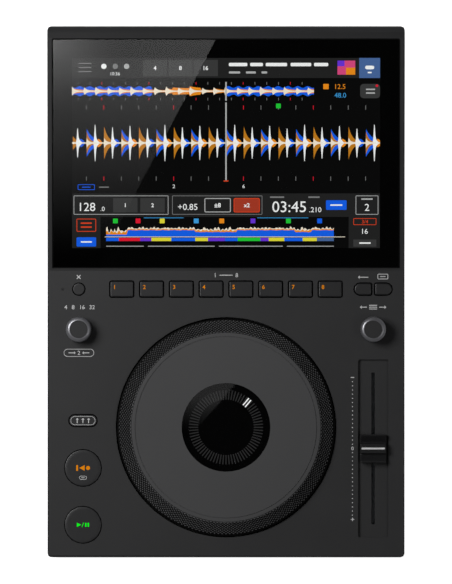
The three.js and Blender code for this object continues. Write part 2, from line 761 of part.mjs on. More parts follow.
function indicatorLamp() {
  const lens = rod(LAMP_RADIUS, deckUnder - SEAT_GAP - WELD, DECK_HEIGHT - SEAT_GAP, STEM_SIDES);
  const flange = rod(
    LAMP_RADIUS + LAMP_FLANGE, deckUnder - SEAT_GAP - LAMP_FLANGE_THICKNESS, deckUnder - SEAT_GAP, STEM_SIDES,
  );
  return piece("indicator_lamp", join(lens, flange).translate([lampX, padsY, 0]), finish.glass);
}

const footPlaces = [["front", -1], ["rear", 1]].flatMap(([row, end]) => [["left", -1], ["right", 1]].map(
  ([hand, side]) => ({
    name: `foot_${row}_${hand}`,
    at: [side * (halfWidth - FOOT_INSET_X), end * (halfDepth - FOOT_INSET_Y)],
  }),
));

function standoffPlaces(x0, x1, y0, y1) {
  return [x0 + STANDOFF_INSET, x1 - STANDOFF_INSET].flatMap((x) =>
    [y0 + STANDOFF_INSET, y1 - STANDOFF_INSET].map((y) => [x, y]));
}

const mainBoardRear = panelInner - SEAT_GAP;
const supplyRight = -MAIN_BOARD_LEFT - SUPPLY_GAP;
const supplyRear = panelInner - SUPPLY_FROM_PANEL;
const mainStandoffs = standoffPlaces(
  -MAIN_BOARD_LEFT, MAIN_BOARD_RIGHT, mainBoardRear - MAIN_BOARD_LENGTH, mainBoardRear,
);
const supplyStandoffs = standoffPlaces(
  supplyRight - SUPPLY_WIDTH, supplyRight, supplyRear - SUPPLY_LENGTH, supplyRear,
);

function bottomCase() {
  const [x, y] = [halfWidth - TRAY_INSET, halfDepth - TRAY_INSET];
  const corner = CORNER_RADIUS - TRAY_INSET;
  const tall = softPrism(
    roundedRect(2 * x, 2 * y, corner + TRAY_EDGE), trayBottom, trayTop + 2 * TRAY_EDGE, TRAY_EDGE,
  );
  const blank = tall.trimByPlane([0, 0, -1], -trayTop);
  const hollow = prism(roundedRect(2 * (x - WALL), 2 * (y - WALL), corner), trayFloor, trayTop + OVERRUN);
  const [lipX, lipY] = [halfWidth - WALL - SEAT_GAP, halfDepth - WALL - SEAT_GAP];
  const lip = cut(
    prism(roundedRect(2 * lipX, 2 * lipY, corner), trayTop - WALL, trayTop + LIP_HEIGHT),
    prism(
      roundedRect(2 * (lipX - LIP_WALL), 2 * (lipY - LIP_WALL), corner),
      trayTop - WALL - OVERRUN, trayTop + LIP_HEIGHT + OVERRUN,
    ),
    block(
      -bayHalfWidth - WALL - SEAT_GAP, bayHalfWidth + WALL + SEAT_GAP, bayBack - WALL, halfDepth,
      trayTop - WALL - OVERRUN, trayTop + LIP_HEIGHT + OVERRUN,
    ),
  );
  const shelf = block(
    -bayHalfWidth - WALL, bayHalfWidth + WALL, panelInner, y - WELD, trayTop - SHELF_THICKNESS, trayTop,
  );
  const posts = screwPlaces.map(({ at: [px, py] }) =>
    rod(SCREW_BOSS_RADIUS, trayFloor - WELD, bossSplit - SEAT_GAP, STEM_SIDES).translate([px, py, 0]));
  const headSeat = trayBottom + SCREW_SUNK + SCREW_HEAD_HEIGHT;
  const bores = screwPlaces.flatMap(({ at: [px, py] }) => [
    rod(SCREW_HOLE_RADIUS, trayBottom - OVERRUN, bossSplit + OVERRUN, STEM_SIDES).translate([px, py, 0]),
    rod(SCREW_HEAD_RADIUS + SEAT_GAP, trayBottom - OVERRUN, headSeat, STEM_SIDES).translate([px, py, 0]),
  ]);
  const standoffs = [
    ...mainStandoffs.map((place) => [place, MAIN_BOARD_RISE]),
    ...supplyStandoffs.map((place) => [place, SUPPLY_RISE]),
  ].map(([[px, py], rise]) =>
    rod(STANDOFF_RADIUS, trayFloor - WELD, trayFloor + rise - SEAT_GAP, HIDDEN_SIDES).translate([px, py, 0]));
  const through = [trayBottom - OVERRUN, trayFloor + OVERRUN];
  const footHoles = footPlaces.map(({ at: [px, py] }) =>
    rod(FOOT_STEM_RADIUS + SEAT_GAP, ...through, STEM_SIDES).translate([px, py, 0]));
  const [ventX, ventY] = [VENT_WIDTH / 2, VENT_LENGTH / 2];
  const vent = block(-ventX, ventX, VENT_Y - ventY, VENT_Y + ventY, ...through);
  const vents = [-1, 1].flatMap((side) => Array.from({ length: VENT_COUNT }, (_, i) =>
    vent.translate([side * VENT_FROM_MIDDLE + (i - (VENT_COUNT - 1) / 2) * VENT_PITCH, 0, 0])));
  const body = join(cut(blank, hollow), lip, shelf, posts, standoffs);
  return piece("bottom_case", cut(body, bores, footHoles, vents), finish.tray);
}

function caseScrew({ name, at }) {
  const headBottom = trayBottom + SCREW_SUNK;
  const headTop = headBottom + SCREW_HEAD_HEIGHT - SEAT_GAP;
  const head = rod(SCREW_HEAD_RADIUS, headBottom, headTop, STEM_SIDES);
  const shank = rod(SCREW_HOLE_RADIUS - SEAT_GAP, headTop - WELD, bossSplit + SCREW_REACH, STEM_SIDES);
  return piece(name, join(head, shank).translate([...at, 0]), finish.steel);
}

function foot({ name, at }) {
  const top = FOOT_HEIGHT - SEAT_GAP;
  const stemTop = trayFloor + FOOT_STEM_REACH;
  const made = turned([
    [0, 0],
    [FOOT_RADIUS - FOOT_EDGE, 0],
    [FOOT_RADIUS, FOOT_EDGE],
    [FOOT_TOP_RADIUS, top],
    [FOOT_STEM_RADIUS, top],
    [FOOT_STEM_RADIUS, stemTop],
    [0, stemTop],
  ], FOOT_SIDES);
  return piece(name, made.translate([...at, 0]), finish.rubber);
}

// Screen

function glassWidth() {
  return 2 * (halfWidth - SCREEN_SIDE_RIM);
}

function panelWidth() {
  return glassWidth() - 2 * PANEL_SIDE_BORDER;
}

function panelLength() {
  return SCREEN_LENGTH - PANEL_FRONT_BORDER - PANEL_REAR_BORDER;
}

function panelMiddle() {
  return SCREEN_GAP + PANEL_FRONT_BORDER + panelLength() / 2;
}

function screenPieces() {
  const glassTop = -GLASS_SUNK;
  const glassBottom = glassTop - GLASS_THICKNESS;
  const glass = softPrism(
    roundedRect(glassWidth(), SCREEN_LENGTH, GLASS_CORNER), glassBottom, glassTop, GLASS_EDGE,
  ).translate([0, SCREEN_GAP + SCREEN_LENGTH / 2, 0]);
  const panelTop = glassBottom - SEAT_GAP;
  const panelBottom = panelTop - PANEL_THICKNESS;
  const panel = prism(roundedRect(panelWidth(), panelLength(), GLASS_CORNER), panelBottom, panelTop)
    .translate([0, panelMiddle(), 0]);
  const ledgeBottom = -pocketDepth - WALL;
  const flangeTop = ledgeBottom - SEAT_GAP;
  const panBottom = Math.min(panelBottom, flangeTop) - SEAT_GAP - BRACKET_SHEET;
  const wide = (grow) => {
    const room = 2 * (PANEL_OPENING_GAP + grow);
    return roundedRect(panelWidth() + room, panelLength() + room, GLASS_CORNER);
  };
  const [windowX, windowY] = [BRACKET_WINDOW_LENGTH / 2, BRACKET_WINDOW_WIDTH / 2];
  const windows = [-1, 0, 1].map((i) =>
    block(-windowX, windowX, -windowY, windowY, panBottom - OVERRUN, panelBottom)
      .translate([i * (BRACKET_WINDOW_LENGTH + BRACKET_FLANGE * 2), 0, 0]));
  const bracket = cut(
    join(
      prism(wide(BRACKET_SHEET), panBottom, flangeTop - BRACKET_SHEET / 2),
      prism(wide(BRACKET_FLANGE), flangeTop - BRACKET_SHEET, flangeTop),
    ),
    prism(wide(0), panBottom + BRACKET_SHEET, flangeTop + OVERRUN),
    windows,
  ).translate([0, panelMiddle(), 0]);
  slope.add(
    piece("screen_glass", glass, finish.glass),
    piece("lcd_panel", panel, finish.display),
    piece("display_bracket", bracket, finish.steel),
  );
  return slope;
}

// Jog wheel: a tub and tower that stand still, a bushing, and a wheel of five pieces round them

const platterTop = DECK_HEIGHT + JOG_RISE;
const platterBottom = platterTop - PLATTER_THICKNESS;
const jogRadius = WELL_RADIUS - JOG_RUNNING_GAP;
const platterRadius = jogRadius - KNURL_BAND;
const tubFloor = deckUnder - JOG_FLOOR_DEPTH;
const collarBottom = platterBottom - PLATTER_COLLAR_DEPTH;
const windowBottom = platterBottom + SEAT_GAP;
const roundDisplayTop = windowBottom - ROUND_DISPLAY_GAP;
const roundDisplayBottom = roundDisplayTop - ROUND_DISPLAY_THICKNESS;
const roundDisplayRadius = WINDOW_RADIUS - ROUND_DISPLAY_INSET;
const retainerTop = roundDisplayBottom - SEAT_GAP;
const retainerBottom = retainerTop - RETAINER_THICKNESS;
const bushingInner = TOWER_RADIUS + SEAT_GAP;
const bushingOuter = bushingInner + BUSHING_WALL;
const bushingFoot = tubFloor + SEAT_GAP;
const sleeveInner = bushingOuter + SEAT_GAP;
const sleeveBottom = bushingFoot + BUSHING_FLANGE_THICKNESS + SEAT_GAP;
const sleeveTop = retainerBottom - SEAT_GAP;
const webBottom = sleeveBottom + HUB_WEB_RISE;
const webTop = webBottom + HUB_WEB_THICKNESS;
const ringBottom = DECK_HEIGHT - RING_SINK;
const rimTop = platterTop - PLATTER_PROUD;
const seatTop = platterBottom - SEAT_GAP;
const hubRimOuter = jogRadius - RING_WALL - SEAT_GAP;
const hubRimInner = hubRimOuter - HUB_RIM_WALL;
const hubRimTop = rimTop - KNURL_DROP - RING_TOP_WALL;
const encoderTop = webBottom - SEAT_GAP;

function jogBase() {
  const inner = WELL_RADIUS + TUB_CLEARANCE;
  const outer = inner + TUB_WALL;
  const top = deckUnder - SEAT_GAP;
  const floorBottom = tubFloor - TUB_WALL;
  const towerTop = roundDisplayBottom - SEAT_GAP;
  const made = turned([
    [TOWER_RADIUS - TOWER_WALL, floorBottom],
    [outer, floorBottom],
    [outer, top - TUB_WALL],
    [outer + TUB_FLANGE, top - TUB_WALL],
    [outer + TUB_FLANGE, top],
    [inner, top],
    [inner, tubFloor],
    [TOWER_RADIUS, tubFloor],
    [TOWER_RADIUS, towerTop],
    [TOWER_RADIUS - TOWER_WALL, towerTop],
  ], INNER_WHEEL_SIDES);
  return piece("jog_base", made, finish.tray);
}

function jogBushing() {
  const flangeOuter = bushingOuter + BUSHING_FLANGE_WIDTH;
  const made = turned([
    [bushingInner, bushingFoot],
    [flangeOuter, bushingFoot],
    [flangeOuter, bushingFoot + BUSHING_FLANGE_THICKNESS],
    [bushingOuter, bushingFoot + BUSHING_FLANGE_THICKNESS],
    [bushingOuter, retainerBottom - SEAT_GAP],
    [bushingInner, retainerBottom - SEAT_GAP],
  ], INNER_WHEEL_SIDES);
  return piece("jog_bushing", made, finish.resin);
}

function jogRetainer() {
  const made = ring(bushingInner, bushingInner + RETAINER_WIDTH, retainerBottom, retainerTop, BUTTON_SIDES);
  return piece("jog_retainer", made, finish.steel);
}

function jogDisplay() {
  const canTop = roundDisplayTop - SEAT_GAP;
  const faceRadius = roundDisplayRadius - WINDOW_LEDGE;
  const can = rod(roundDisplayRadius, roundDisplayBottom, canTop, INNER_WHEEL_SIDES);
  const face = rod(faceRadius, canTop - WELD, roundDisplayTop, INNER_WHEEL_SIDES);
  return piece("jog_display", join(can, face), finish.display);
}

function jogHub() {
  const wheel = turned([
    [sleeveInner, sleeveBottom],
    [sleeveInner + HUB_SLEEVE_WALL, sleeveBottom],
    [sleeveInner + HUB_SLEEVE_WALL, webBottom],
    [hubRimOuter, webBottom],
    [hubRimOuter, hubRimTop],
    [hubRimInner, hubRimTop],
    [hubRimInner, webTop],
    [sleeveInner + HUB_SLEEVE_WALL, webTop],
    [sleeveInner + HUB_SLEEVE_WALL, sleeveTop],
    [sleeveInner, sleeveTop],
  ], INNER_WHEEL_SIDES);
  const spokes = Array.from({ length: HUB_SPOKES }, (_, i) => {
    const rib = block(
      sleeveInner + HUB_SLEEVE_WALL / 2, hubRimInner + WELD, -HUB_RIB_THICKNESS / 2, HUB_RIB_THICKNESS / 2,
      webTop - WELD, webTop + HUB_RIB_HEIGHT,
    );
    return rib.rotate([0, 0, (i * 360) / HUB_SPOKES]);
  });
  return piece("jog_hub", join(wheel, spokes), finish.dial);
}

function encoderRing() {
  const bottom = sleeveBottom;
  const inner = ENCODER_RADIUS - ENCODER_WALL;
  const band = ring(inner, ENCODER_RADIUS, bottom, encoderTop, INNER_WHEEL_SIDES);
  const slots = Array.from({ length: ENCODER_SLOTS }, (_, i) => {
    const half = ENCODER_SLOT_WIDTH / 2;
    const slotTop = encoderTop - ENCODER_BAND;
    const slot = block(inner - OVERRUN, ENCODER_RADIUS + OVERRUN, -half, half, bottom - OVERRUN, slotTop);
    return slot.rotate([0, 0, (i * 360) / ENCODER_SLOTS]);
  });
  return piece("encoder_ring", cut(band, slots), finish.dial);
}

function jogSensor() {
  const foot = tubFloor + SEAT_GAP;
  const inner = ENCODER_RADIUS - ENCODER_WALL - SENSOR_CLEARANCE;
  const outer = ENCODER_RADIUS + SENSOR_CLEARANCE;
  const half = SENSOR_WIDTH / 2;
  const made = cut(
    block(-half, half, inner - SENSOR_ARM, outer + SENSOR_ARM, foot, foot + SENSOR_RISE),
    block(-half - OVERRUN, half + OVERRUN, inner, outer, foot + SENSOR_BASE, foot + SENSOR_RISE + OVERRUN),
  );
  return piece("jog_sensor", made, finish.tray);
}

// The dial's slope carries a diamond knurl: a grid of points on the cone, every other one raised.
function knurledCone(inner, outer, top, bottom) {
  const slopeLength = Math.hypot(outer - inner, top - bottom);
  const [outwards, upwards] = [(top - bottom) / slopeLength, (outer - inner) / slopeLength];
  const around = 2 * KNURL_TEETH;
  const points = [];
  const faces = [];
  const rows = KNURL_ROWS + 1;
  for (let row = 0; row < rows; row += 1) {
    const share = row / KNURL_ROWS;
    const edge = row === 0 || row === KNURL_ROWS;
    for (let i = 0; i < around; i += 1) {
      const lift = !edge && (row + i) % 2 === 0 ? 0 : -KNURL_DEPTH;
      const radius = inner + (outer - inner) * share + (edge ? 0 : lift * outwards);
      const height = top + (bottom - top) * share + (edge ? 0 : lift * upwards);
      const angle = (i / around) * Math.PI * 2;
      points.push(radius * Math.cos(angle), radius * Math.sin(angle), height);
    }
  }
  const at = (row, i) => row * around + (i % around);
  for (let row = 0; row < KNURL_ROWS; row += 1) {
    for (let i = 0; i < around; i += 1) {
      const [a, b, c, d] = [at(row, i), at(row, i + 1), at(row + 1, i + 1), at(row + 1, i)];
      if ((row + i) % 2 === 0) faces.push(a, d, c, a, c, b);
      else faces.push(a, d, b, d, c, b);
    }
  }
  return { points, faces, around, rows };
}

function jogRing() {
  const coneTop = rimTop;
  const coneBottom = rimTop - KNURL_DROP;
  const coneOuter = jogRadius - RING_SHOULDER;
  const cone = knurledCone(platterRadius + SEAT_GAP, coneOuter, coneTop, coneBottom);
  const section = [
    [jogRadius, coneBottom - RING_SHOULDER],
    [jogRadius, ringBottom],
    [jogRadius - RING_WALL, ringBottom],
    [jogRadius - RING_WALL, hubRimTop + SEAT_GAP],
    [hubRimInner, hubRimTop + SEAT_GAP],
    [platterRadius - RING_TOP_WALL, seatTop - RING_TOP_WALL],
    [platterRadius - RING_SEAT_WIDTH, seatTop - RING_TOP_WALL],
    [platterRadius - RING_SEAT_WIDTH, seatTop],
    [platterRadius + SEAT_GAP, seatTop],
  ];
  const { points, faces, around, rows } = cone;
  for (const [radius, height] of section) {
    for (let i = 0; i < around; i += 1) {
      const angle = (i / around) * Math.PI * 2;
      points.push(radius * Math.cos(angle), radius * Math.sin(angle), height);
    }
  }
  const total = rows + section.length;
  for (let row = rows - 1; row < total; row += 1) {
    for (let i = 0; i < around; i += 1) {
      const [low, next] = [row % total, (row + 1) % total];
      const [a, b] = [low * around + i, low * around + ((i + 1) % around)];
      const [c, d] = [next * around + ((i + 1) % around), next * around + i];
      faces.push(a, d, c, a, c, b);
    }
  }
  const geometry = new THREE.BufferGeometry();
  geometry.setAttribute("position", new THREE.Float32BufferAttribute(points, 3));
  geometry.setIndex(faces);
  return piece("jog_ring", solid(geometry), finish.dial);
}

function jogPlatter() {
  const ledgeInner = WINDOW_RADIUS - WINDOW_LEDGE;
  const seat = WINDOW_RADIUS + SEAT_GAP;
  const groove = platterRadius - GROOVE_INSET;
  const made = turned([
    [ledgeInner, collarBottom],
    [ledgeInner + PLATTER_COLLAR_WIDTH, collarBottom],
    [ledgeInner + PLATTER_COLLAR_WIDTH, platterBottom],
    [platterRadius, platterBottom],
    [platterRadius, platterTop],
    [groove + GROOVE_WIDTH / 2, platterTop],
    [groove, platterTop - GROOVE_DEPTH],
    [groove - GROOVE_WIDTH / 2, platterTop],
    [seat, platterTop],
    [seat, platterBottom],
    [ledgeInner, platterBottom],
  ]);
  return piece("jog_platter", made, finish.platter);
}

function jogWindow() {
  const made = rod(WINDOW_RADIUS, windowBottom, windowBottom + WINDOW_THICKNESS, WHEEL_SIDES);
  return piece("jog_window", made, finish.glass);
}

function jogPieces() {
  const group = new THREE.Group();
  group.position.set(0, jogY, 0);
  group.add(
    jogBase(), jogBushing(), jogRetainer(), jogDisplay(), jogSensor(), jogHub(), encoderRing(), jogRing(),
    jogPlatter(), jogWindow(),
  );
  return group;
}

// Knobs: an encoder on the board, its rotor, and the knob whose flatted shaft slides in the rotor

const encoderFoot = controlBoardFace + SEAT_GAP;
const rotorBottom = encoderFoot + ENCODER_BODY_FLOOR + SEAT_GAP;
const knobTop = DECK_HEIGHT + KNOB_HEIGHT;

function encoderBody(name) {
  const half = ENCODER_BODY_SIDE / 2;
  const made = cut(
    block(-half, half, -half, half, encoderFoot, deckUnder - SEAT_GAP),
    rod(ROTOR_DISC_RADIUS + SEAT_GAP, encoderFoot + ENCODER_BODY_FLOOR, deckUnder + OVERRUN),
  );
  return piece(name, made, finish.steel);
}

function encoderRotor(name) {
  const bore = flattedDisc(SHAFT_RADIUS + SHAFT_GAP, SHAFT_FLAT + SHAFT_GAP);
  const sleeveTop = DECK_HEIGHT + ROTOR_SLEEVE_RISE;
  const made = cut(
    join(
      rod(ROTOR_DISC_RADIUS, rotorBottom, rotorBottom + ROTOR_DISC_HEIGHT),
      rod(ROTOR_SLEEVE_RADIUS, rotorBottom + WELD, sleeveTop),
    ),
    prism(bore, rotorBottom - OVERRUN, sleeveTop + OVERRUN, SHAFT_STEPS),
  );
  return piece(name, made, finish.resin);
}

function knob(name) {
  const skirt = DECK_HEIGHT + KNOB_HOVER;
  const shoulder = knobTop - KNOB_CHAMFER;
  const flutes = [];
  for (let i = 0; i < 2 * KNOB_FLUTES; i += 1) {
    const angle = (i * Math.PI) / KNOB_FLUTES;
    const radius = KNOB_RADIUS - (i % 2) * KNOB_FLUTE_DEPTH;
    flutes.push([radius * Math.cos(angle), radius * Math.sin(angle)]);
  }
  const narrowing = KNOB_TOP_RADIUS / KNOB_RADIUS;
  const grip = wasm.Manifold.extrude([flutes], shoulder - skirt, 0, 0, [narrowing, narrowing])
    .translate([0, 0, skirt]);
  const crown = turned([
    [0, shoulder - WELD],
    [KNOB_TOP_RADIUS - 2 * KNOB_FLUTE_DEPTH, shoulder - WELD],
    [KNOB_TOP_RADIUS - KNOB_FLUTE_DEPTH, shoulder],
    [KNOB_FACE_RADIUS + KNOB_FACE_SUNK, knobTop],
    [KNOB_FACE_RADIUS, knobTop],
    [KNOB_FACE_RADIUS, knobTop - KNOB_FACE_SUNK],
    [0, knobTop - KNOB_FACE_SUNK],
  ], CROWN_SIDES);
  const hollow = rod(KNOB_HOLLOW_RADIUS, skirt - OVERRUN, knobTop - KNOB_CROWN);
  const [shaftBottom, shaftTop] = [rotorBottom + KNOB_TRAVEL, knobTop - KNOB_CROWN + WELD];
  const shaft = prism(flattedDisc(SHAFT_RADIUS, SHAFT_FLAT), shaftBottom, shaftTop, SHAFT_STEPS);
  const made = join(cut(join(grip, crown), hollow), shaft);
  return piece(name, made, finish.knob);
}

function knobPieces(prefix, x) {
  const group = new THREE.Group();
  group.position.set(x, knobsY, 0);
  group.add(encoderBody(`${prefix}_encoder`), encoderRotor(`${prefix}_rotor`), knob(`${prefix}_knob`));
  return group;
}

// Tempo fader

const faderPanelTop = deckUnder - SEAT_GAP;
const faderPanelBottom = faderPanelTop - FADER_PANEL_THICKNESS;
const channelTop = faderPanelBottom - SEAT_GAP;
const channelBottom = channelTop - CHANNEL_HEIGHT;
const carriageBottom = channelBottom + CHANNEL_WALL + SEAT_GAP;
const capBottom = faderPanelTop + FADER_CAP_HOVER;

function faderPanel() {
  const slotLength = FADER_TRAVEL + LEVER_WIDTH + 2 * FADER_SLOT_ROOM;
  const plate = prism(
    roundedRect(faderWidth + 2 * FADER_PANEL_MARGIN, faderLength + 2 * FADER_PANEL_MARGIN, FADER_CORNER),
    faderPanelBottom, faderPanelTop,
  );
  const slotOutline = roundedRect(FADER_SLOT_WIDTH, slotLength, FADER_SLOT_ROOM);
  const slot = prism(slotOutline, faderPanelBottom - OVERRUN, faderPanelTop + OVERRUN);
  return piece("fader_panel", cut(plate, slot), finish.shell);
}

function faderFrame() {
  const innerHalfWidth = CARRIAGE_WIDTH / 2 + CHANNEL_SIDE_ROOM;
  const innerHalfLength = (FADER_TRAVEL + CARRIAGE_LENGTH) / 2 + CHANNEL_END_ROOM;
  const [x, y] = [innerHalfWidth + CHANNEL_WALL, innerHalfLength + CHANNEL_WALL];
  const made = cut(
    block(-x, x, -y, y, channelBottom, channelTop),
    block(
      -innerHalfWidth, innerHalfWidth, -innerHalfLength, innerHalfLength,
      channelBottom + CHANNEL_WALL, channelTop + OVERRUN,
    ),
  );
  return piece("fader_frame", made, finish.steel);
}

function faderLever() {
  const carriage = block(
    -CARRIAGE_WIDTH / 2, CARRIAGE_WIDTH / 2, -CARRIAGE_LENGTH / 2, CARRIAGE_LENGTH / 2,
    carriageBottom, carriageBottom + CARRIAGE_HEIGHT,
  );
  const blade = block(
    -LEVER_THICKNESS / 2, LEVER_THICKNESS / 2, -LEVER_WIDTH / 2, LEVER_WIDTH / 2,
    carriageBottom + CARRIAGE_HEIGHT - WELD, capBottom + LEVER_REACH,
  );
  return piece("fader_lever", join(carriage, blade), finish.steel);
}

// The cap's section: a middle ridge for the line, a finger hollow on each side, and a lip at each end.
function faderCap() {
  const half = FADER_CAP_LENGTH / 2;
  const lip = half - FADER_END_FLAT;
  const ridge = FADER_RIDGE_WIDTH / 2;
  const foot = FADER_RIDGE_FOOT / 2;
  const bend = foot + FADER_END_FLAT;
  const heights = [FADER_END_HEIGHT, FADER_VALLEY_HEIGHT, FADER_RIDGE_HEIGHT];
  const [end, valley, top] = heights.map((height) => capBottom + height);
  const shape = new THREE.Shape();
  shape.moveTo(-half, capBottom);
  shape.lineTo(half, capBottom);
  shape.lineTo(half, end);
  shape.lineTo(lip, end);
  shape.quadraticCurveTo(bend, valley, foot, valley);
  shape.lineTo(ridge, top);
  shape.lineTo(-ridge, top);
  shape.lineTo(-foot, valley);
  shape.quadraticCurveTo(-bend, valley, -lip, end);
  shape.lineTo(-half, end);
  const blank = sideways(shape, FADER_CAP_WIDTH, FADER_CAP_EDGE);
  const socketX = LEVER_THICKNESS / 2 + SEAT_GAP;
  const socketY = LEVER_WIDTH / 2 + SEAT_GAP;
  const socket = block(
    -socketX, socketX, -socketY, socketY, capBottom - OVERRUN, capBottom + LEVER_REACH + SEAT_GAP,
  );
  return piece("fader_cap", cut(blank, socket), finish.key);
}

function faderPieces() {
  const group = new THREE.Group();
  group.position.set(columnX, faderY, 0);
  group.add(faderPanel(), faderFrame(), faderLever(), faderCap());
  return group;
}

// Boards

function controlBoard() {
  const [bottom, top] = [controlBoardFace - BOARD_THICKNESS, controlBoardFace];
  const x = halfWidth - CONTROL_BOARD_INSET;
  const inner = x - CONTROL_WING_WIDTH;
  const rear = padsY + CONTROL_STRIP_REAR;
  const sheets = [
    block(-x, x, padsY - CONTROL_STRIP_FRONT, rear, bottom, top),
    block(-x, -inner, front + LEFT_WING_FRONT, rear, bottom, top),
    block(inner, x, knobsY - RIGHT_WING_BELOW_KNOB, rear, bottom, top),
  ];
  const half = SWITCH_SIDE / 2;
  const switches = buttons.map(({ at: [bx, by] }) =>
    block(bx - half, bx + half, by - half, by + half, top - WELD, top + SWITCH_HEIGHT));
  return piece("control_board", join(sheets, switches), finish.board);
}

// Chips, coils and heat sinks, as shares of the board: x, y, width, length, and height over the thickness.
const MAIN_PART_SHARES = [
  [0.3, 0.35, 0.16, 0.17, 2],
  [0.52, 0.34, 0.09, 0.1, 1.2],
  [0.52, 0.52, 0.09, 0.1, 1.2],
  [0.3, 0.6, 0.2, 0.1, 1.6],
  [0.76, 0.3, 0.1, 0.22, 3.4],
  [0.15, 0.8, 0.1, 0.06, 4],
];
const SUPPLY_PART_SHARES = [
  [0.5, 0.32, 0.5, 0.26, 11],
  [0.28, 0.68, 0.34, 0.2, 9],
  [0.76, 0.66, 0.24, 0.24, 12],
  [0.5, 0.9, 0.6, 0.1, 5],
];

function stuffedBoard(name, x0, x1, y0, y1, top, partShares, material) {
  const [width, length] = [x1 - x0, y1 - y0];
  const sheet = block(x0, x1, y0, y1, top - BOARD_THICKNESS, top);
  const parts = partShares.map(([x, y, w, l, rise]) => {
    const [px, py] = [x0 + x * width, y0 + y * length];
    const [hx, hy] = [(w * width) / 2, (l * length) / 2];
    return block(px - hx, px + hx, py - hy, py + hy, top - WELD, top + rise * BOARD_THICKNESS);
  });
  return piece(name, join(sheet, parts), material);
}

function mainBoard() {
  return stuffedBoard(
    "main_board", -MAIN_BOARD_LEFT, MAIN_BOARD_RIGHT, mainBoardRear - MAIN_BOARD_LENGTH, mainBoardRear,
    mainBoardFace, MAIN_PART_SHARES, finish.board,
  );
}

function powerSupply() {
  return stuffedBoard(
    "power_supply", supplyRight - SUPPLY_WIDTH, supplyRight, supplyRear - SUPPLY_LENGTH, supplyRear,
    trayFloor + SUPPLY_RISE + BOARD_THICKNESS, SUPPLY_PART_SHARES, finish.board,
  );
}

// Jacks: each stands on the main board or hangs in the panel, its mouth to the rear

const powerX = -(bayHalfWidth - POWER_FROM_SIDE);
const inletX = powerX + INLET_FROM_POWER;
const phonoPlaces = Array.from({ length: PHONO_COUNT }, (_, i) =>
  PHONO_X + (i - (PHONO_COUNT - 1) / 2) * PHONO_PITCH);

function panelHole(width, height, x, z) {
  return block(
    x - width / 2 - JACK_GAP, x + width / 2 + JACK_GAP, panelInner - OVERRUN, bayBack + OVERRUN,
    z - height / 2 - JACK_GAP, z + height / 2 + JACK_GAP,
  );
}

function rearPanel() {
  const half = bayHalfWidth - SEAT_GAP;
  const plate = block(-half, half, panelInner, bayBack, trayTop + SEAT_GAP, bayTop - SEAT_GAP);
  const round = (radius, x, z) =>
    rearwards(rod(radius, -OVERRUN, JACK_PANEL_THICKNESS + OVERRUN), x, panelInner, z);
  const made = cut(
    plate,
    round(POWER_RADIUS + JACK_GAP, powerX, jackMiddle),
    panelHole(INLET_WIDTH, INLET_HEIGHT, inletX, jackMiddle),
    panelHole(USB_A_WIDTH, USB_A_HEIGHT, USB_A_X, jackFoot + USB_A_HEIGHT / 2),
    panelHole(LAN_WIDTH, LAN_HEIGHT, LAN_X, jackFoot + LAN_HEIGHT / 2),
    panelHole(USB_B_WIDTH, USB_B_HEIGHT, USB_B_X, jackFoot + USB_B_HEIGHT / 2),
    phonoPlaces.map((x) => round(PHONO_RADIUS + JACK_GAP, x, jackMiddle)),
  );
  return piece("rear_panel", made, finish.tray);
}

function powerButton() {
  const flangeRear = panelInner - SEAT_GAP;
  const face = bayBack + POWER_TRAVEL + POWER_FLUSH - flangeRear;
  const cap = softPrism(disc(POWER_RADIUS), -BUTTON_EDGE, face, BUTTON_EDGE, SMALL_SIDES / 2);
  const flange = rod(POWER_RADIUS + POWER_FLANGE, -BUTTON_FLANGE_THICKNESS, 0);
  const stem = rod(STEM_RADIUS, -POWER_STEM_LENGTH, 0, HIDDEN_SIDES);
  const made = join(cap, flange, stem);
  return piece("power_button", rearwards(made, powerX, flangeRear, jackMiddle), finish.key);
}

function mainsInlet() {
  const face = bayBack + SEAT_GAP + INLET_FLANGE_THICKNESS;
  const body = prism(roundedRect(INLET_WIDTH, INLET_HEIGHT, GLASS_CORNER), -INLET_LENGTH, 0);
  const flange = prism(
    roundedRect(INLET_WIDTH + 2 * INLET_FLANGE, INLET_HEIGHT + 2 * INLET_FLANGE, INLET_FLANGE),
    -INLET_FLANGE_THICKNESS, 0,
  );
  const mouthOutline = roundedRect(INLET_MOUTH_WIDTH, INLET_MOUTH_HEIGHT, INLET_MOUTH_HEIGHT);
  const mouth = prism(mouthOutline, -INLET_DEPTH, OVERRUN);
  const pins = [-1, 1].map((side) =>
    rod(INLET_PIN_RADIUS, -INLET_DEPTH - WELD, -INLET_DEPTH + INLET_PIN_LENGTH)
      .translate([(side * INLET_PIN_PITCH) / 2, 0, 0]));
  const made = join(cut(join(body, flange), mouth), pins);
  return piece("mains_inlet", rearwards(made, inletX, face, jackMiddle), finish.tray);
}

// A jack made of a block with a mouth; the tongue in it, if any, stands on the mouth's floor.
function blockJack(name, x, width, height, length, depth, mouths, tongue) {
  const half = height / 2;
  const body = prism(roundedRect(width, height, USB_SHELL), -length, SEAT_GAP);
  const cutters = mouths.map(([w, h, middle]) =>
    prism(roundedRect(w, h, USB_SHELL / 2), -depth, SEAT_GAP + OVERRUN).translate([0, middle, 0]));
  let made = cut(body, cutters);
  if (tongue) {
    const [w, h, middle] = tongue;
    const bar = prism(roundedRect(w, h, USB_SHELL / 2), -depth - WELD, -USB_SHELL);
    made = join(made, bar.translate([0, middle, 0]));
  }
  return piece(name, rearwards(made, x, bayBack, jackFoot + half), finish.steel);
}

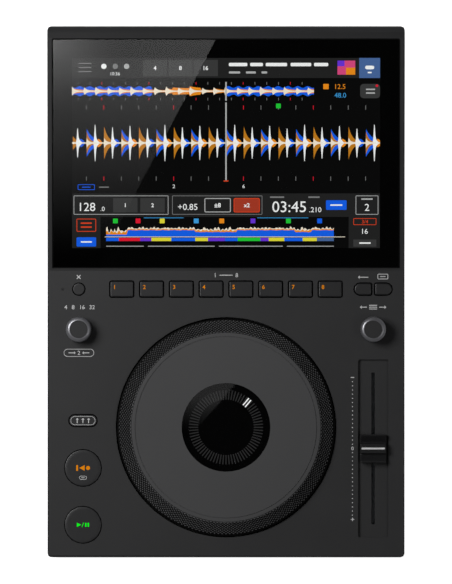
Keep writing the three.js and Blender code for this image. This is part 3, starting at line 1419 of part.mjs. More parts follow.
function lanJack() {
  const mouthMiddle = (LAN_HEIGHT - LAN_MOUTH_HEIGHT) / 2 - LAN_HEIGHT / 4;
  return blockJack("lan_jack", LAN_X, LAN_WIDTH, LAN_HEIGHT, LAN_LENGTH, LAN_DEPTH, [
    [LAN_MOUTH_WIDTH, LAN_MOUTH_HEIGHT, mouthMiddle],
    [LAN_KEY_WIDTH, LAN_MOUTH_HEIGHT + 2 * LAN_KEY_HEIGHT, mouthMiddle],
  ]);
}

function usbPorts() {
  const inside = (size) => size - 2 * USB_SHELL;
  return [
    blockJack(
      "usb_a_port", USB_A_X, USB_A_WIDTH, USB_A_HEIGHT, USB_LENGTH, USB_DEPTH,
      [[inside(USB_A_WIDTH), inside(USB_A_HEIGHT), 0]],
      [2 * USB_TONGUE_WIDTH, USB_TONGUE_HEIGHT, USB_TONGUE_HEIGHT / 2],
    ),
    blockJack(
      "usb_b_port", USB_B_X, USB_B_WIDTH, USB_B_HEIGHT, USB_LENGTH, USB_DEPTH,
      [[inside(USB_B_WIDTH), inside(USB_B_HEIGHT), 0]],
      [USB_TONGUE_WIDTH, 2 * USB_TONGUE_HEIGHT, 0],
    ),
  ];
}

function phonoJacks() {
  const halfWidthOfBlock = (PHONO_COUNT * PHONO_PITCH) / 2;
  const blockFront = panelInner - SEAT_GAP;
  const body = block(
    PHONO_X - halfWidthOfBlock, PHONO_X + halfWidthOfBlock, blockFront - PHONO_BLOCK_LENGTH, blockFront,
    jackFoot, jackFoot + PHONO_BLOCK_HEIGHT,
  );
  const tip = bayBack + PHONO_REACH;
  const shells = phonoPlaces.map((x) =>
    rearwards(rod(PHONO_RADIUS, 0, tip - blockFront + WELD), x, blockFront - WELD, jackMiddle));
  const bores = phonoPlaces.map((x) =>
    rearwards(rod(PHONO_BORE, -PHONO_BORE_DEPTH, OVERRUN, STEM_SIDES), x, tip, jackMiddle));
  return piece("phono_jacks", cut(join(body, shells), bores), finish.steel);
}

const player = new THREE.Group();
player.name = "media_player";
player.add(
  topCase(),
  bottomCase(),
  ...screwPlaces.map(caseScrew),
  ...footPlaces.map(foot),
  screenPieces(),
  jogPieces(),
  ...buttons.map((button) => piece(button.name, buttonSolid(button), finish.key)),
  indicatorLamp(),
  knobPieces("beat_loop", -columnX),
  knobPieces("browse", columnX),
  faderPieces(),
  controlBoard(),
  mainBoard(),
  powerSupply(),
  rearPanel(),
  powerButton(),
  mainsInlet(),
  lanJack(),
  ...usbPorts(),
  phonoJacks(),
);

export default player;
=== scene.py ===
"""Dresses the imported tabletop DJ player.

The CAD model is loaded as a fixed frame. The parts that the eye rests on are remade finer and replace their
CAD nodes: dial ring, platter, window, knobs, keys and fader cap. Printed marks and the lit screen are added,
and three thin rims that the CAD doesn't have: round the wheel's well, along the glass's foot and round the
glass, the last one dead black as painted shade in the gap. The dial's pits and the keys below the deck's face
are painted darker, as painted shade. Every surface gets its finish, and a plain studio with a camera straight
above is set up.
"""

import logging
import math
from collections.abc import Callable, Sequence
from dataclasses import dataclass, field
from enum import Enum

import bpy
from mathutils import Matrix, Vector


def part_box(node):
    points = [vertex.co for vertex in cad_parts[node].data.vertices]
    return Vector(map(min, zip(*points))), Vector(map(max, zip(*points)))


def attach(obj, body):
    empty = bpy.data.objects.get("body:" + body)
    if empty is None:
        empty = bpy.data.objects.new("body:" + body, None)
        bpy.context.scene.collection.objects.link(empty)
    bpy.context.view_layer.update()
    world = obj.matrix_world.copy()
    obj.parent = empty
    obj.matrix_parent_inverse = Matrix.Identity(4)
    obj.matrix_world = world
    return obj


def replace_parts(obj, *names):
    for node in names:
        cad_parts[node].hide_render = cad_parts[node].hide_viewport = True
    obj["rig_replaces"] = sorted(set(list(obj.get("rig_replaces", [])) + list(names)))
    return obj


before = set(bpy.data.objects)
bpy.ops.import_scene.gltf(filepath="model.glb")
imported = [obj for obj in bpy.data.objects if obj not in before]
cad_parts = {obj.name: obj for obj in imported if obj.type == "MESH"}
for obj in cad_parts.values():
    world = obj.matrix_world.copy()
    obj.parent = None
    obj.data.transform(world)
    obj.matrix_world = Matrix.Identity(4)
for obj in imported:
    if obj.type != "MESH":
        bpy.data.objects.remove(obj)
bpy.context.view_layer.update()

log = logging.getLogger("dj_player")
Point = tuple[float, float]
Piece = bpy.types.Object
Tree = bpy.types.NodeTree
Socket = bpy.types.NodeSocket
MM = 0.001
# Heights of the CAD's faces, and y where the deck folds up to the screen, in millimetres.
DECK_Z = 46.0
PAD_TOP = 47.0
ROUND_KEY_TOP = 47.2
SHIFT_TOP = 47.4
WINDOW_TOP = 58.9
FOLD_Y = 15.016
SLOPE_DEGREES = 9.2
PAD_COUNT = 8
SMOOTH_ANGLE = math.radians(32)
# Print starts a little inside its ground and ends a little above it.
PRINT_SUNK = 0.01
PRINT_PROUD = 0.03
# Vertices closer than this many millimetres are merged; a spun section takes the wider limit.
WELD = 0.0005
SPUN_WELD = 0.001


# Colours and shader nodes


def srgb(code: str) -> tuple[float, float, float, float]:
    """Turn an sRGB colour such as #2b2b2b into linear RGBA.

    Args:
        code: the hex colour, with its hash sign.

    Returns:
        Red, green, blue and a full alpha, all linear.
    """
    shares = [int(code[i:i + 2], 16) / 255 for i in (1, 3, 5)]
    linear = [c / 12.92 if c <= 0.04045 else ((c + 0.055) / 1.055) ** 2.4 for c in shares]
    return (linear[0], linear[1], linear[2], 1.0)


def add_node(tree: Tree, kind: str, values: dict | None = None, links: dict | None = None,
             **settings) -> bpy.types.Node:
    """Add a shader node with its settings, socket values and links.

    Args:
        tree: the node tree that gets the node.
        kind: Blender's name of the node type.
        values: socket name or number to value.
        links: socket name or number to the output that feeds it.
        **settings: attributes of the node itself.

    Returns:
        The new node.
    """
    made = tree.nodes.new(kind)
    for key, value in settings.items():
        setattr(made, key, value)
    for key, value in (values or {}).items():
        made.inputs[key].default_value = value
    for key, source in (links or {}).items():
        tree.links.new(source, made.inputs[key])
    return made


def object_place(tree: Tree) -> Socket:
    """Return a place in the piece's own coordinates."""
    return add_node(tree, "ShaderNodeTexCoord").outputs["Object"]


def object_height(tree: Tree) -> Socket:
    """Return the height in the piece's own coordinates."""
    return add_node(tree, "ShaderNodeSeparateXYZ", links={0: object_place(tree)}).outputs[2]


def maths(tree: Tree, operation: str, *terms: float | Sequence[float] | Socket,
          vectors: bool = False) -> Socket:
    """Add a maths node and return its result.

    Args:
        tree: the node tree.
        operation: Blender's name of the operation.
        *terms: numbers, vectors or sockets, in the order of the node's inputs.
        vectors: whether the node works on vectors.

    Returns:
        The result, which is a number for a length, a distance and a dot product.
    """
    kind = "ShaderNodeVectorMath" if vectors else "ShaderNodeMath"
    fed = {i: term for i, term in enumerate(terms) if isinstance(term, Socket)}
    fixed = {i: term for i, term in enumerate(terms) if i not in fed}
    made = add_node(tree, kind, fixed, fed, operation=operation)
    return made.outputs["Value" if operation in ("LENGTH", "DISTANCE", "DOT_PRODUCT") else 0]


def noise(tree: Tree, size: float, detail: float = 2.0,
          stretch: tuple[float, float, float] = (1.0, 1.0, 1.0)) -> Socket:
    """Add noise whose blotches have a real size.

    Args:
        tree: the node tree.
        size: width of a blotch in millimetres.
        detail: octaves of finer noise.
        stretch: scale along x, y and z, for drawn-out grain.

    Returns:
        The noise value, about 0 to 1.
    """
    drawn = add_node(tree, "ShaderNodeMapping", {"Scale": stretch}, {"Vector": object_place(tree)})
    made = add_node(tree, "ShaderNodeTexNoise", {"Scale": 1 / (size * MM), "Detail": detail},
                    {"Vector": drawn.outputs["Vector"]})
    return made.outputs[0]


def blend_colours(tree: Tree, share: Socket, first: str, second: str | Socket) -> Socket:
    """Mix a hex colour with another one, given in hex or as a socket, and return the colour socket."""
    made = add_node(tree, "ShaderNodeMix", {6: srgb(first)}, {0: share}, data_type="RGBA")
    if isinstance(second, str):
        made.inputs[7].default_value = srgb(second)
    else:
        tree.links.new(second, made.inputs[7])
    return made.outputs[2]


def span(tree: Tree, value: Socket, source: Point, target: Point) -> Socket:
    """Map a value from one range to another, clamped, and return the socket."""
    made = add_node(tree, "ShaderNodeMapRange", {1: source[0], 2: source[1], 3: target[0], 4: target[1]},
                    {0: value})
    return made.outputs[0]


def blank_material(name: str) -> bpy.types.Material:
    """Make a material whose node tree is empty."""
    made = bpy.data.materials.new(name)
    made.use_nodes = True
    made.node_tree.nodes.clear()
    return made


def close_tree(tree: Tree, shader: bpy.types.Node) -> None:
    """Feed a shader to the material's output."""
    add_node(tree, "ShaderNodeOutputMaterial", links={"Surface": shader.outputs[0]})


# Finishes


@dataclass(frozen=True)
class Finish:
    """A surface finish, whose material is made on first use and then shared."""

    name: str

    def material(self) -> bpy.types.Material:
        """Return this finish's material."""
        made = bpy.data.materials.get(self.name)
        if made is None:
            made = blank_material(self.name)
            self.paint(made)
        return made

    def paint(self, made: bpy.types.Material) -> None:
        """Fill the material's node tree."""
        raise NotImplementedError


@dataclass(frozen=True)
class Moulded(Finish):
    """Moulded or painted surface: cloudy colour, fine grain in gloss and relief."""

    base: str
    shade: str
    roughness: float
    grain: float = 0.7
    depth: float = 0.02
    swing: float = 0.06
    cloud: float = 45.0
    ior: float = 1.52
    metallic: float = 0.0

    def paint(self, made: bpy.types.Material) -> None:
        """Fill the material's node tree."""
        tree = made.node_tree
        fine = noise(tree, self.grain, 3.0)
        gloss = span(tree, fine, (0.3, 0.7), (self.roughness - self.swing, self.roughness + self.swing))
        bump = add_node(tree, "ShaderNodeBump", {"Strength": 0.6, "Distance": self.depth * MM},
                        {"Height": fine})
        values = {"Metallic": self.metallic}
        if self.metallic == 0.0:
            values["IOR"] = self.ior
        shader = add_node(tree, "ShaderNodeBsdfPrincipled", values,
                          {"Roughness": gloss, "Normal": bump.outputs[0], **self.tones(tree)})
        close_tree(tree, shader)

    def clouds(self, tree: Tree) -> Socket:
        """Return the two tones, drifting softly into each other."""
        share = span(tree, noise(tree, self.cloud), (0.3, 0.7), (0.0, 1.0))
        return blend_colours(tree, share, self.base, self.shade)

    def tones(self, tree: Tree) -> dict[str, Socket]:
        """Return what feeds the shader's colour, by socket name."""
        return {"Base Color": self.clouds(tree)}


@dataclass(frozen=True)
class DippedKey(Moulded):
    """Key painted near black and dead matt below a height: painted shade for the gap round the cap and the
    flange seen through it.
    """

    # Painted shade: near black colour below the line, in the gap round the key.
    bare: str = "#040404"
    line: float = 46.1

    def tones(self, tree: Tree) -> dict[str, Socket]:
        """Return the colour and the sheen, which both drop to painted shade below the line."""
        # Below the line the key is painted near black with little sheen: painted shade in the gap round it.
        cap_share = span(tree, object_height(tree), ((self.line - 0.2) * MM, self.line * MM), (0.0, 1.0))
        tone = blend_colours(tree, cap_share, self.bare, self.clouds(tree))
        return {"Base Color": tone, "Specular IOR Level": span(tree, cap_share, (0, 1), (0.04, 0.5))}


@dataclass(frozen=True)
class Knurled(Moulded):
    """Knurled cone whose pits are painted darker and less glossy than its points, as painted shade between
    the pyramids.
    """

    # Painted shade: colour of the pits between the pyramids.
    pit: str = "#0a0a0a"
    centre_y: float = -95.384
    point: Point = (67.0, 58.3)
    slope: Point = (0.723, 0.691)
    deep: float = 0.95
    foot: float = 48.9

    def tones(self, tree: Tree) -> dict[str, Socket]:
        """Return the colour and the sheen by height above the pits, which get painted shade."""
        moved = maths(tree, "ADD", object_place(tree), (0.0, -self.centre_y * MM, 0.0), vectors=True)
        flat = maths(tree, "MULTIPLY", moved, (1.0, 1.0, 0.0), vectors=True)
        radius = maths(tree, "LENGTH", flat, vectors=True)
        level = object_height(tree)
        out = maths(tree, "MULTIPLY", radius, self.slope[0])
        height = maths(tree, "MULTIPLY_ADD", level, self.slope[1], out)
        crown = (self.point[0] * self.slope[0] + self.point[1] * self.slope[1]) * MM
        points = span(tree, height, (crown - 0.8 * self.deep * MM, crown - 0.25 * self.deep * MM), (0.0, 1.0))
        above = span(tree, level, ((self.foot - 0.2) * MM, (self.foot + 0.3) * MM), (0.0, 1.0))
        # Above the ring's foot, the pits are painted darker and less glossy: painted shade between the
        # pyramids.
        unshaded_share = maths(tree, "MULTIPLY", points, above)
        tone = blend_colours(tree, unshaded_share, self.pit, self.clouds(tree))
        return {"Base Color": tone, "Specular IOR Level": span(tree, unshaded_share, (0, 1), (0.05, 0.6))}


@dataclass(frozen=True)
class ClearGlass(Finish):
    """Clear sheet with faint smears in its gloss."""

    tint: str = "#fafcfb"
    roughness: float = 0.006
    ior: float = 1.5

    def paint(self, made: bpy.types.Material) -> None:
        """Fill the material's node tree."""
        tree = made.node_tree
        smear = span(tree, noise(tree, 18.0, 2.0, (1.0, 0.35, 1.0)), (0.35, 0.75),
                     (self.roughness * 0.5, self.roughness * 1.6))
        shader = add_node(tree, "ShaderNodeBsdfPrincipled",
                          {"Base Color": srgb(self.tint), "IOR": self.ior, "Transmission Weight": 1.0},
                          {"Roughness": smear})
        close_tree(tree, shader)


@dataclass(frozen=True)
class LitPixels(Finish):
    """Backlit cells of a colour display, with the dark lattice between them."""

    colour: str
    strength: float = 1.0
    pitch: float = 0.5

    def paint(self, made: bpy.types.Material) -> None:
        """Fill the material's node tree."""
        tree = made.node_tree
        cells = add_node(
            tree, "ShaderNodeTexBrick",
            {"Scale": 1.0, "Brick Width": self.pitch * MM, "Row Height": self.pitch * MM,
             "Mortar Size": 0.06 * self.pitch * MM, "Mortar Smooth": 0.6, "Color1": srgb(self.colour),
             "Color2": srgb(self.colour), "Mortar": [c * 0.62 for c in srgb(self.colour)[:3]] + [1.0]},
            {"Vector": object_place(tree)}, offset=0.0)
        shader = add_node(tree, "ShaderNodeEmission", {"Strength": self.strength},
                          {"Color": cells.outputs["Color"]})
        close_tree(tree, shader)
        made.cycles.emission_sampling = "NONE"


class FinishSet(Enum):
    """Base of the sets whose members are finishes."""

    def on(self, piece: Piece) -> None:
        """Give a piece this finish in place of what it had."""
        piece.data.materials.clear()
        piece.data.materials.append(self.value.material())


class Surface(FinishSet):
    """Every finish on the player, by what the real one is."""

    # Charcoal ABS from a spark-eroded mould: soft grey sheen, no mirror, fine even grain. The real grain of
    # about 0.2 mm is drawn at 0.8 mm so that it shows.
    SHELL = Moulded("charcoal_abs_spark_textured", "#29292a", "#252526", 0.5, 0.8, 0.03, ior=1.46)
    # The same ABS on the lower tray, a little blacker and rougher.
    TRAY = Moulded("black_abs_tray", "#222223", "#1e1e1f", 0.58, 0.9, 0.03)
    # Fader floor and power button in the same ABS, polished by the mould a little more.
    RECESS = Moulded("charcoal_abs_fine_texture", "#232324", "#202021", 0.46, 0.6, 0.015)
    # Silicone-damped ABS key caps with soft-touch paint: smoother than the shell, with
    # edges that catch the light. Below the deck's face they are painted near black, as painted shade for the
    # gap round each key.
    KEY = DippedKey("soft_touch_painted_key", "#2b2b2c", "#282829", 0.34, 0.5, 0.008, 0.04)
    # Polyurethane-painted polycarbonate of the gripping ring: dark, with a small glint on each pyramid and
    # painted shade in the pits between them.
    DIAL = Knurled("rubber_painted_polycarbonate", "#5c5c5d", "#555556", 0.34, 0.4, 0.006, 0.05, 30.0)
    # Satin-painted aluminium sheet of the platter: even mid grey.
    PLATTER = Moulded("satin_painted_aluminium", "#444445", "#424243", 0.62, 0.5, 0.008, 0.04, 60.0)
    # Fader cap in black acetal: the darkest moulding on the deck, with a faint sheen on its ridge.
    FADER_CAP = Moulded("black_acetal_fader_cap", "#1a1a1b", "#171718", 0.32, 0.4, 0.006)
    # White tampon print of the fader cap's line.
    WHITE_PRINT = Moulded("white_tampon_print", "#ededed", "#e2e2e2", 0.5, 0.3, 0.003, 0.04, 4.0)
    # Bead-blasted, dark anodised aluminium of the knob's rim: broad soft highlights.
    KNOB_RIM = Moulded("blasted_anodised_aluminium", "#8e8e92", "#838387", 0.34, 0.3, 0.006, 0.05, 12.0,
                       metallic=0.7)
    # Knob face insert of matt black ABS.
    KNOB_FACE = Moulded("matt_black_abs_insert", "#1b1b1c", "#171718", 0.55, 0.4, 0.01)
    # Toughened display glass over the screen.
    SCREEN_GLASS = ClearGlass("toughened_float_glass")
    # Clear moulded polycarbonate window in the platter.
    WINDOW = ClearGlass("clear_polycarbonate", "#f6f7f7", 0.01, 1.585)
    # Black ceramic ink fired on the back of the glass: no gloss of its own, swallows light.
    BORDER_INK = Moulded("black_ceramic_ink", "#020202", "#030303", 0.7, 0.5, 0.002, ior=1.03)
    # Polariser film of a switched-off display field.
    POLARISER = Moulded("black_polariser_film", "#030304", "#020203", 0.45, 0.5, 0.001, ior=1.06)
    # Dead matt black strip over the gap round the glass: painted shade, so the joint reads as a dark line.
    GASKET = Moulded("black_gap_shade_strip", "#0a0a0a", "#0d0d0d", 0.8, 0.4, 0.002, ior=1.2)
    # Silk-screened deck legend, light grey two-part ink.
    LEGEND_INK = Moulded("light_grey_silkscreen_ink", "#dcdcdc", "#d2d2d2", 0.6, 0.3, 0.004, 0.05, 4.0)
    # Amber and green inks of the lit legends, glowing a little through the key caps.
    AMBER_LEGEND = LitPixels("amber_backlit_legend", "#e88a10", 0.86, 0.3)
    GREEN_LEGEND = LitPixels("green_backlit_legend", "#10f020", 1.05, 0.3)
    # Lit marker and ticks of the round display.
    WHITE_MARK = LitPixels("white_lit_marker", "#fbfbfb", 1.1, 0.3)
    DIM_TICK = LitPixels("dim_lit_tick", "#2b2b2b", 1.0, 0.3)
    # Smoked polycarbonate of the small lamp.
    LAMP = Moulded("smoked_polycarbonate_lens", "#2a2a2b", "#252526", 0.4, 0.3, 0.002)
    # Ethylene-propylene rubber feet: dead matt, slightly dusty.
    RUBBER = Moulded("black_epdm_rubber", "#1a1a1a", "#232322", 0.8, 0.9, 0.03, 0.05, 8.0, 1.5)
    # Zinc-plated mild steel sheet: grey with faint bluish clouds.
    ZINC = Moulded("zinc_plated_steel", "#b3b6bb", "#9da1a6", 0.35, 1.2, 0.004, 0.08, 15.0, metallic=1.0)
    # Black-zinc screws.
    SCREW = Moulded("black_zinc_screw", "#3a3b3d", "#2c2d2f", 0.38, 0.4, 0.003, 0.08, 4.0, metallic=1.0)
    # Nickel-plated connector shells.
    NICKEL = Moulded("nickel_plated_shell", "#cfc9be", "#bcb6ab", 0.24, 0.6, 0.002, 0.06, 8.0, metallic=1.0)
    # Glass-filled nylon housings, black and semi-matt.
    RESIN = Moulded("glass_filled_nylon", "#181818", "#202020", 0.55, 0.5, 0.01)
    # Acetal bearing parts, off-white and waxy.
    ACETAL = Moulded("natural_acetal", "#d9d7cf", "#cfcdc4", 0.42, 0.6, 0.004, 0.05, 12.0, 1.48)
    # Green solder mask over FR4 board.
    BOARD = Moulded("green_solder_mask_fr4", "#0f3d22", "#144a2a", 0.38, 1.1, 0.01, 0.06, 9.0, 1.55)
    # Powder-coated steel rear panel.
    PANEL = Moulded("black_powder_coated_steel", "#1d1d1e", "#232324", 0.5, 0.7, 0.02)


# Modelling by hand


class Bench:
    """The hand moves that new pieces are made with. Lengths are millimetres."""

    @staticmethod
    def clear() -> None:
        """Leave edit mode and select nothing."""
        if bpy.context.object and bpy.context.object.mode != "OBJECT":
            bpy.ops.object.mode_set(mode="OBJECT")
        bpy.ops.object.select_all(action="DESELECT")

    @staticmethod
    def choose(piece: Piece) -> None:
        """Select one piece alone and make it active."""
        Bench.clear()
        piece.select_set(True)
        bpy.context.view_layer.objects.active = piece

    @staticmethod
    def edit(piece: Piece) -> None:
        """Open a piece in edit mode with all of it selected."""
        Bench.choose(piece)
        bpy.ops.object.mode_set(mode="EDIT")
        bpy.ops.mesh.select_all(action="SELECT")

    @staticmethod
    def shift(x: float, y: float) -> None:
        """Move all of the open piece sideways and close edit mode."""
        bpy.ops.mesh.select_all(action="SELECT")
        bpy.ops.transform.translate(value=(x * MM, y * MM, 0))
        bpy.ops.object.mode_set(mode="OBJECT")

    @staticmethod
    def fix_place() -> None:
        """Write the active piece's place, turn and scale into its mesh."""
        bpy.ops.object.transform_apply(location=True, rotation=True, scale=True)

    @staticmethod
    def round_edges(width: float, steps: int = 3) -> None:
        """Round the selected edges of the open piece and close edit mode."""
        bpy.ops.mesh.bevel(offset=width * MM, offset_type="OFFSET", affect="EDGES", segments=steps,
                           clamp_overlap=True)
        bpy.ops.object.mode_set(mode="OBJECT")

    @staticmethod
    def pick(piece: Piece, kind: str, test: Callable[..., bool]) -> None:
        """Select the vertices, edges or faces that pass a test, and stay in edit mode.

        Args:
            piece: the piece to select in.
            kind: "VERT", "EDGE" or "FACE".
            test: takes a vertex place, two end places, or a face centre and normal, and says yes or no.
        """
        Bench.choose(piece)
        bpy.ops.object.mode_set(mode="EDIT")
        bpy.ops.mesh.select_mode(type=kind)
        bpy.ops.mesh.select_all(action="DESELECT")
        bpy.ops.object.mode_set(mode="OBJECT")
        mesh = piece.data
        places = [v.co / MM for v in mesh.vertices]
        if kind == "VERT":
            for vertex in mesh.vertices:
                vertex.select = test(places[vertex.index])
        elif kind == "EDGE":
            for edge in mesh.edges:
                edge.select = test(places[edge.vertices[0]], places[edge.vertices[1]])
        else:
            for face in mesh.polygons:
                face.select = test(face.center / MM, face.normal)
        bpy.ops.object.mode_set(mode="EDIT")

    @staticmethod
    def wire(points: Sequence[tuple[float, float, float]]) -> Piece:
        """Draw a wire: a plane merged to one vertex, extruded from point to point.

        Args:
            points: the places that the wire passes, in order.

        Returns:
            The wire, in edit mode.
        """
        Bench.clear()
        bpy.ops.mesh.primitive_plane_add(size=MM, location=(0, 0, 0))
        piece = bpy.context.object
        bpy.ops.object.mode_set(mode="EDIT")
        bpy.ops.mesh.select_mode(type="VERT")
        bpy.ops.mesh.select_all(action="SELECT")
        bpy.ops.mesh.merge(type="CENTER")
        here = Vector(points[0])
        bpy.ops.transform.translate(value=here * MM)
        for there in points[1:]:
            step = (Vector(there) - here) * MM
            bpy.ops.mesh.extrude_vertices_move(TRANSFORM_OT_translate={"value": step})
            here = Vector(there)
        bpy.ops.mesh.select_all(action="SELECT")
        bpy.ops.mesh.remove_doubles(threshold=WELD * MM)
        return piece

    @staticmethod
    def turn(section: Sequence[Point], sides: int, centre: Point = (0.0, 0.0)) -> Piece:
        """Turn a section about an upright axis, as on a lathe.

        Args:
            section: radius and height of each corner; it closes on itself or at the axis.
            sides: steps round.
            centre: x and y of the axis.

        Returns:
            The turned piece, in object mode.
        """
        closed = list(section)
        if section[0][0] > 0 or section[-1][0] > 0:
            closed.append(section[0])
        piece = Bench.wire([(radius, 0.0, height) for radius, height in closed])
        bpy.ops.mesh.spin(steps=sides, angle=math.tau, center=(0, 0, 0), axis=(0, 0, 1))
        bpy.ops.mesh.select_all(action="SELECT")
        bpy.ops.mesh.remove_doubles(threshold=SPUN_WELD * MM)
        bpy.ops.mesh.normals_make_consistent(inside=False)
        Bench.shift(*centre)
        return piece

    @staticmethod
    def raise_faces(low: float, high: float) -> None:
        """Thicken the open flat faces upwards and turn all normals out."""
        bpy.ops.mesh.select_all(action="SELECT")
        bpy.ops.mesh.extrude_region_move(TRANSFORM_OT_translate={"value": (0, 0, (high - low) * MM)})
        bpy.ops.mesh.select_all(action="SELECT")
        bpy.ops.mesh.normals_make_consistent(inside=False)
        bpy.ops.object.mode_set(mode="OBJECT")

    @staticmethod
    def slab(outline: Sequence[Point], low: float, high: float) -> Piece:
        """Draw an outline, fill it and extrude it from one height to another."""
        piece = Bench.wire([(x, y, low) for x, y in [*outline, outline[0]]])
        bpy.ops.mesh.edge_face_add()
        Bench.raise_faces(low, high)
        return piece

    @staticmethod
    def flat_tile(centre: Point, size: Point, radius: float, low: float, corner_steps: int) -> Piece:
        """Add a plane at its size and place with rounded corners, and stay in edit mode."""
        Bench.clear()
        bpy.ops.mesh.primitive_plane_add(size=1, location=(0, 0, 0))
        piece = bpy.context.object
        bpy.ops.object.mode_set(mode="EDIT")
        bpy.ops.mesh.select_all(action="SELECT")
        bpy.ops.transform.resize(value=(size[0] * MM, size[1] * MM, 1))
        bpy.ops.transform.translate(value=(centre[0] * MM, centre[1] * MM, low * MM))
        if radius > 0:
            bpy.ops.mesh.bevel(offset=min(radius, min(size) / 2 - 0.001) * MM, offset_type="OFFSET",
                               affect="VERTICES", segments=corner_steps, clamp_overlap=False)
        return piece

    @staticmethod
    def tile(centre: Point, size: Point, radius: float, low: float, high: float,
             corner_steps: int = 4) -> Piece:
        """Make a flat bar with rounded corners."""
        piece = Bench.flat_tile(centre, size, radius, low, corner_steps)
        Bench.raise_faces(low, high)
        return piece

    @staticmethod
    def hoop(centre: Point, size: Point, radius: float, width: float, low: float, high: float,
             corner_steps: int = 6) -> Piece:
        """Make a rounded outline of even width, as a drawn box or pill."""
        piece = Bench.flat_tile(centre, size, radius, low, corner_steps)
        bpy.ops.mesh.select_mode(type="FACE")
        bpy.ops.mesh.select_all(action="SELECT")
        bpy.ops.mesh.inset(thickness=width * MM, depth=0)
        bpy.ops.mesh.delete(type="FACE")
        Bench.raise_faces(low, high)
        return piece

    @staticmethod
    def soften(piece: Piece, height: float, width: float, steps: int = 3) -> None:
        """Round the rim that lies at a height."""
        def on_rim(a: Vector, b: Vector) -> bool:
            return abs(a.z - height) < 0.002 and abs(b.z - height) < 0.002

        Bench.pick(piece, "EDGE", on_rim)
        Bench.round_edges(width, steps)

    @staticmethod
    def figures(text: str, centre: Point, height: float, low: float, high: float,
                thicken: float = 0.0) -> Piece:
        """Set figures or signs in type, as a mesh of exact height centred on a place.

        Args:
            text: figures and signs only.
            centre: x and y of their middle.
            height: height of the tallest figure.
            low: bottom of the print.
            high: top of the print.
            thicken: outset of the strokes.

        Returns:
            The mesh piece.
        """
        Bench.clear()
        bpy.ops.object.text_add(location=(0, 0, 0))
        piece = bpy.context.object
        piece.data.body = text
        piece.data.size = 1.0
        piece.data.extrude = 0.5
        piece.data.offset = thicken
        piece.data.resolution_u = 3
        bpy.ops.object.convert(target="MESH")
        corners = [v.co.copy() for v in piece.data.vertices]
        lowest = Vector([min(c[i] for c in corners) for i in range(3)])
        highest = Vector([max(c[i] for c in corners) for i in range(3)])
        middle = (lowest + highest) / 2
        scale = height * MM / (highest.y - lowest.y)
        deep = (high - low) * MM / (highest.z - lowest.z)
        piece.scale = (scale, scale, deep)
        piece.location = (centre[0] * MM - middle.x * scale, centre[1] * MM - middle.y * scale,
                          (low + high) / 2 * MM - middle.z * deep)
        Bench.fix_place()
        Bench.edit(piece)
        bpy.ops.mesh.remove_doubles(threshold=WELD * MM)
        bpy.ops.mesh.normals_make_consistent(inside=False)
        bpy.ops.object.mode_set(mode="OBJECT")
        return piece

    @staticmethod
    def join(parts: Sequence[Piece]) -> Piece:
        """Join parts into one piece and return it."""
        Bench.clear()
        for part in parts:
            part.select_set(True)
        bpy.context.view_layer.objects.active = parts[0]
        if len(parts) > 1:
            bpy.ops.object.join()
        return bpy.context.object

    @staticmethod
    def copy_to(piece: Piece, step: Vector) -> Piece:
        """Copy a piece with its own mesh and move the copy by a step."""
        Bench.choose(piece)
        bpy.ops.object.duplicate(linked=False)
        made = bpy.context.object
        made.location = step * MM
        Bench.fix_place()
        return made

    @staticmethod
    def lay_on_slope(piece: Piece) -> None:
        """Tip a piece that was drawn flat onto the screen's slope."""
        Bench.choose(piece)
        piece.location = (0, FOLD_Y * MM, DECK_Z * MM)
        piece.rotation_euler = (math.radians(SLOPE_DEGREES), 0, 0)
        Bench.fix_place()

    @staticmethod
    def settle(piece: Piece, name: str, body: str, slot: str, surface: FinishSet,
               stands_for: Sequence[str] = ()) -> Piece:
        """Name a finished piece, dress it, and fasten it to the body that it moves with.

        Args:
            piece: the finished mesh.
            name: its name in the table of pieces.
            body: the CAD body that it rides on.
            slot: the record's material slot; not used.
            surface: its finish.
            stands_for: CAD nodes that it replaces.

        Returns:
            The piece.
        """
        piece.name = name
        piece.data.name = name
        surface.on(piece)
        Bench.choose(piece)
        bpy.ops.object.shade_smooth_by_angle(angle=SMOOTH_ANGLE)
        bpy.ops.object.modifier_add(type="WEIGHTED_NORMAL")
        piece.modifiers[0].keep_sharp = True
        bpy.ops.object.modifier_apply(modifier=piece.modifiers[0].name)
        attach(piece, body)
        if stands_for:
            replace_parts(piece, *stands_for)
        log.info("%s: %d faces, %s, on %s", name, len(piece.data.polygons), surface.name, body)
        return piece


def middle_of(node: str) -> Point:
    """Return x and y of the middle of a CAD node, in millimetres."""
    low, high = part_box(node)
    return ((low.x + high.x) / 2 / MM, (low.y + high.y) / 2 / MM)


def printed(ground: float) -> Point:
    """Return the bottom and top of print on a ground."""
    return (ground - PRINT_SUNK, ground + PRINT_PROUD)


def arc(centre: Point, radius: float, start: float, end: float, steps: int) -> list[Point]:
    """Return the points of an arc between two angles in degrees, both ends among them."""
    angles = [math.radians(start + (end - start) * step / steps) for step in range(steps + 1)]
    return [(centre[0] + radius * math.cos(a), centre[1] + radius * math.sin(a)) for a in angles]


def box_of(left: float, low: float, right: float, high: float) -> tuple[Point, Point]:
    """Return the middle and the size of a box that is given by its edges."""
    return ((left + right) / 2, (low + high) / 2), (right - left, high - low)


# The wheel


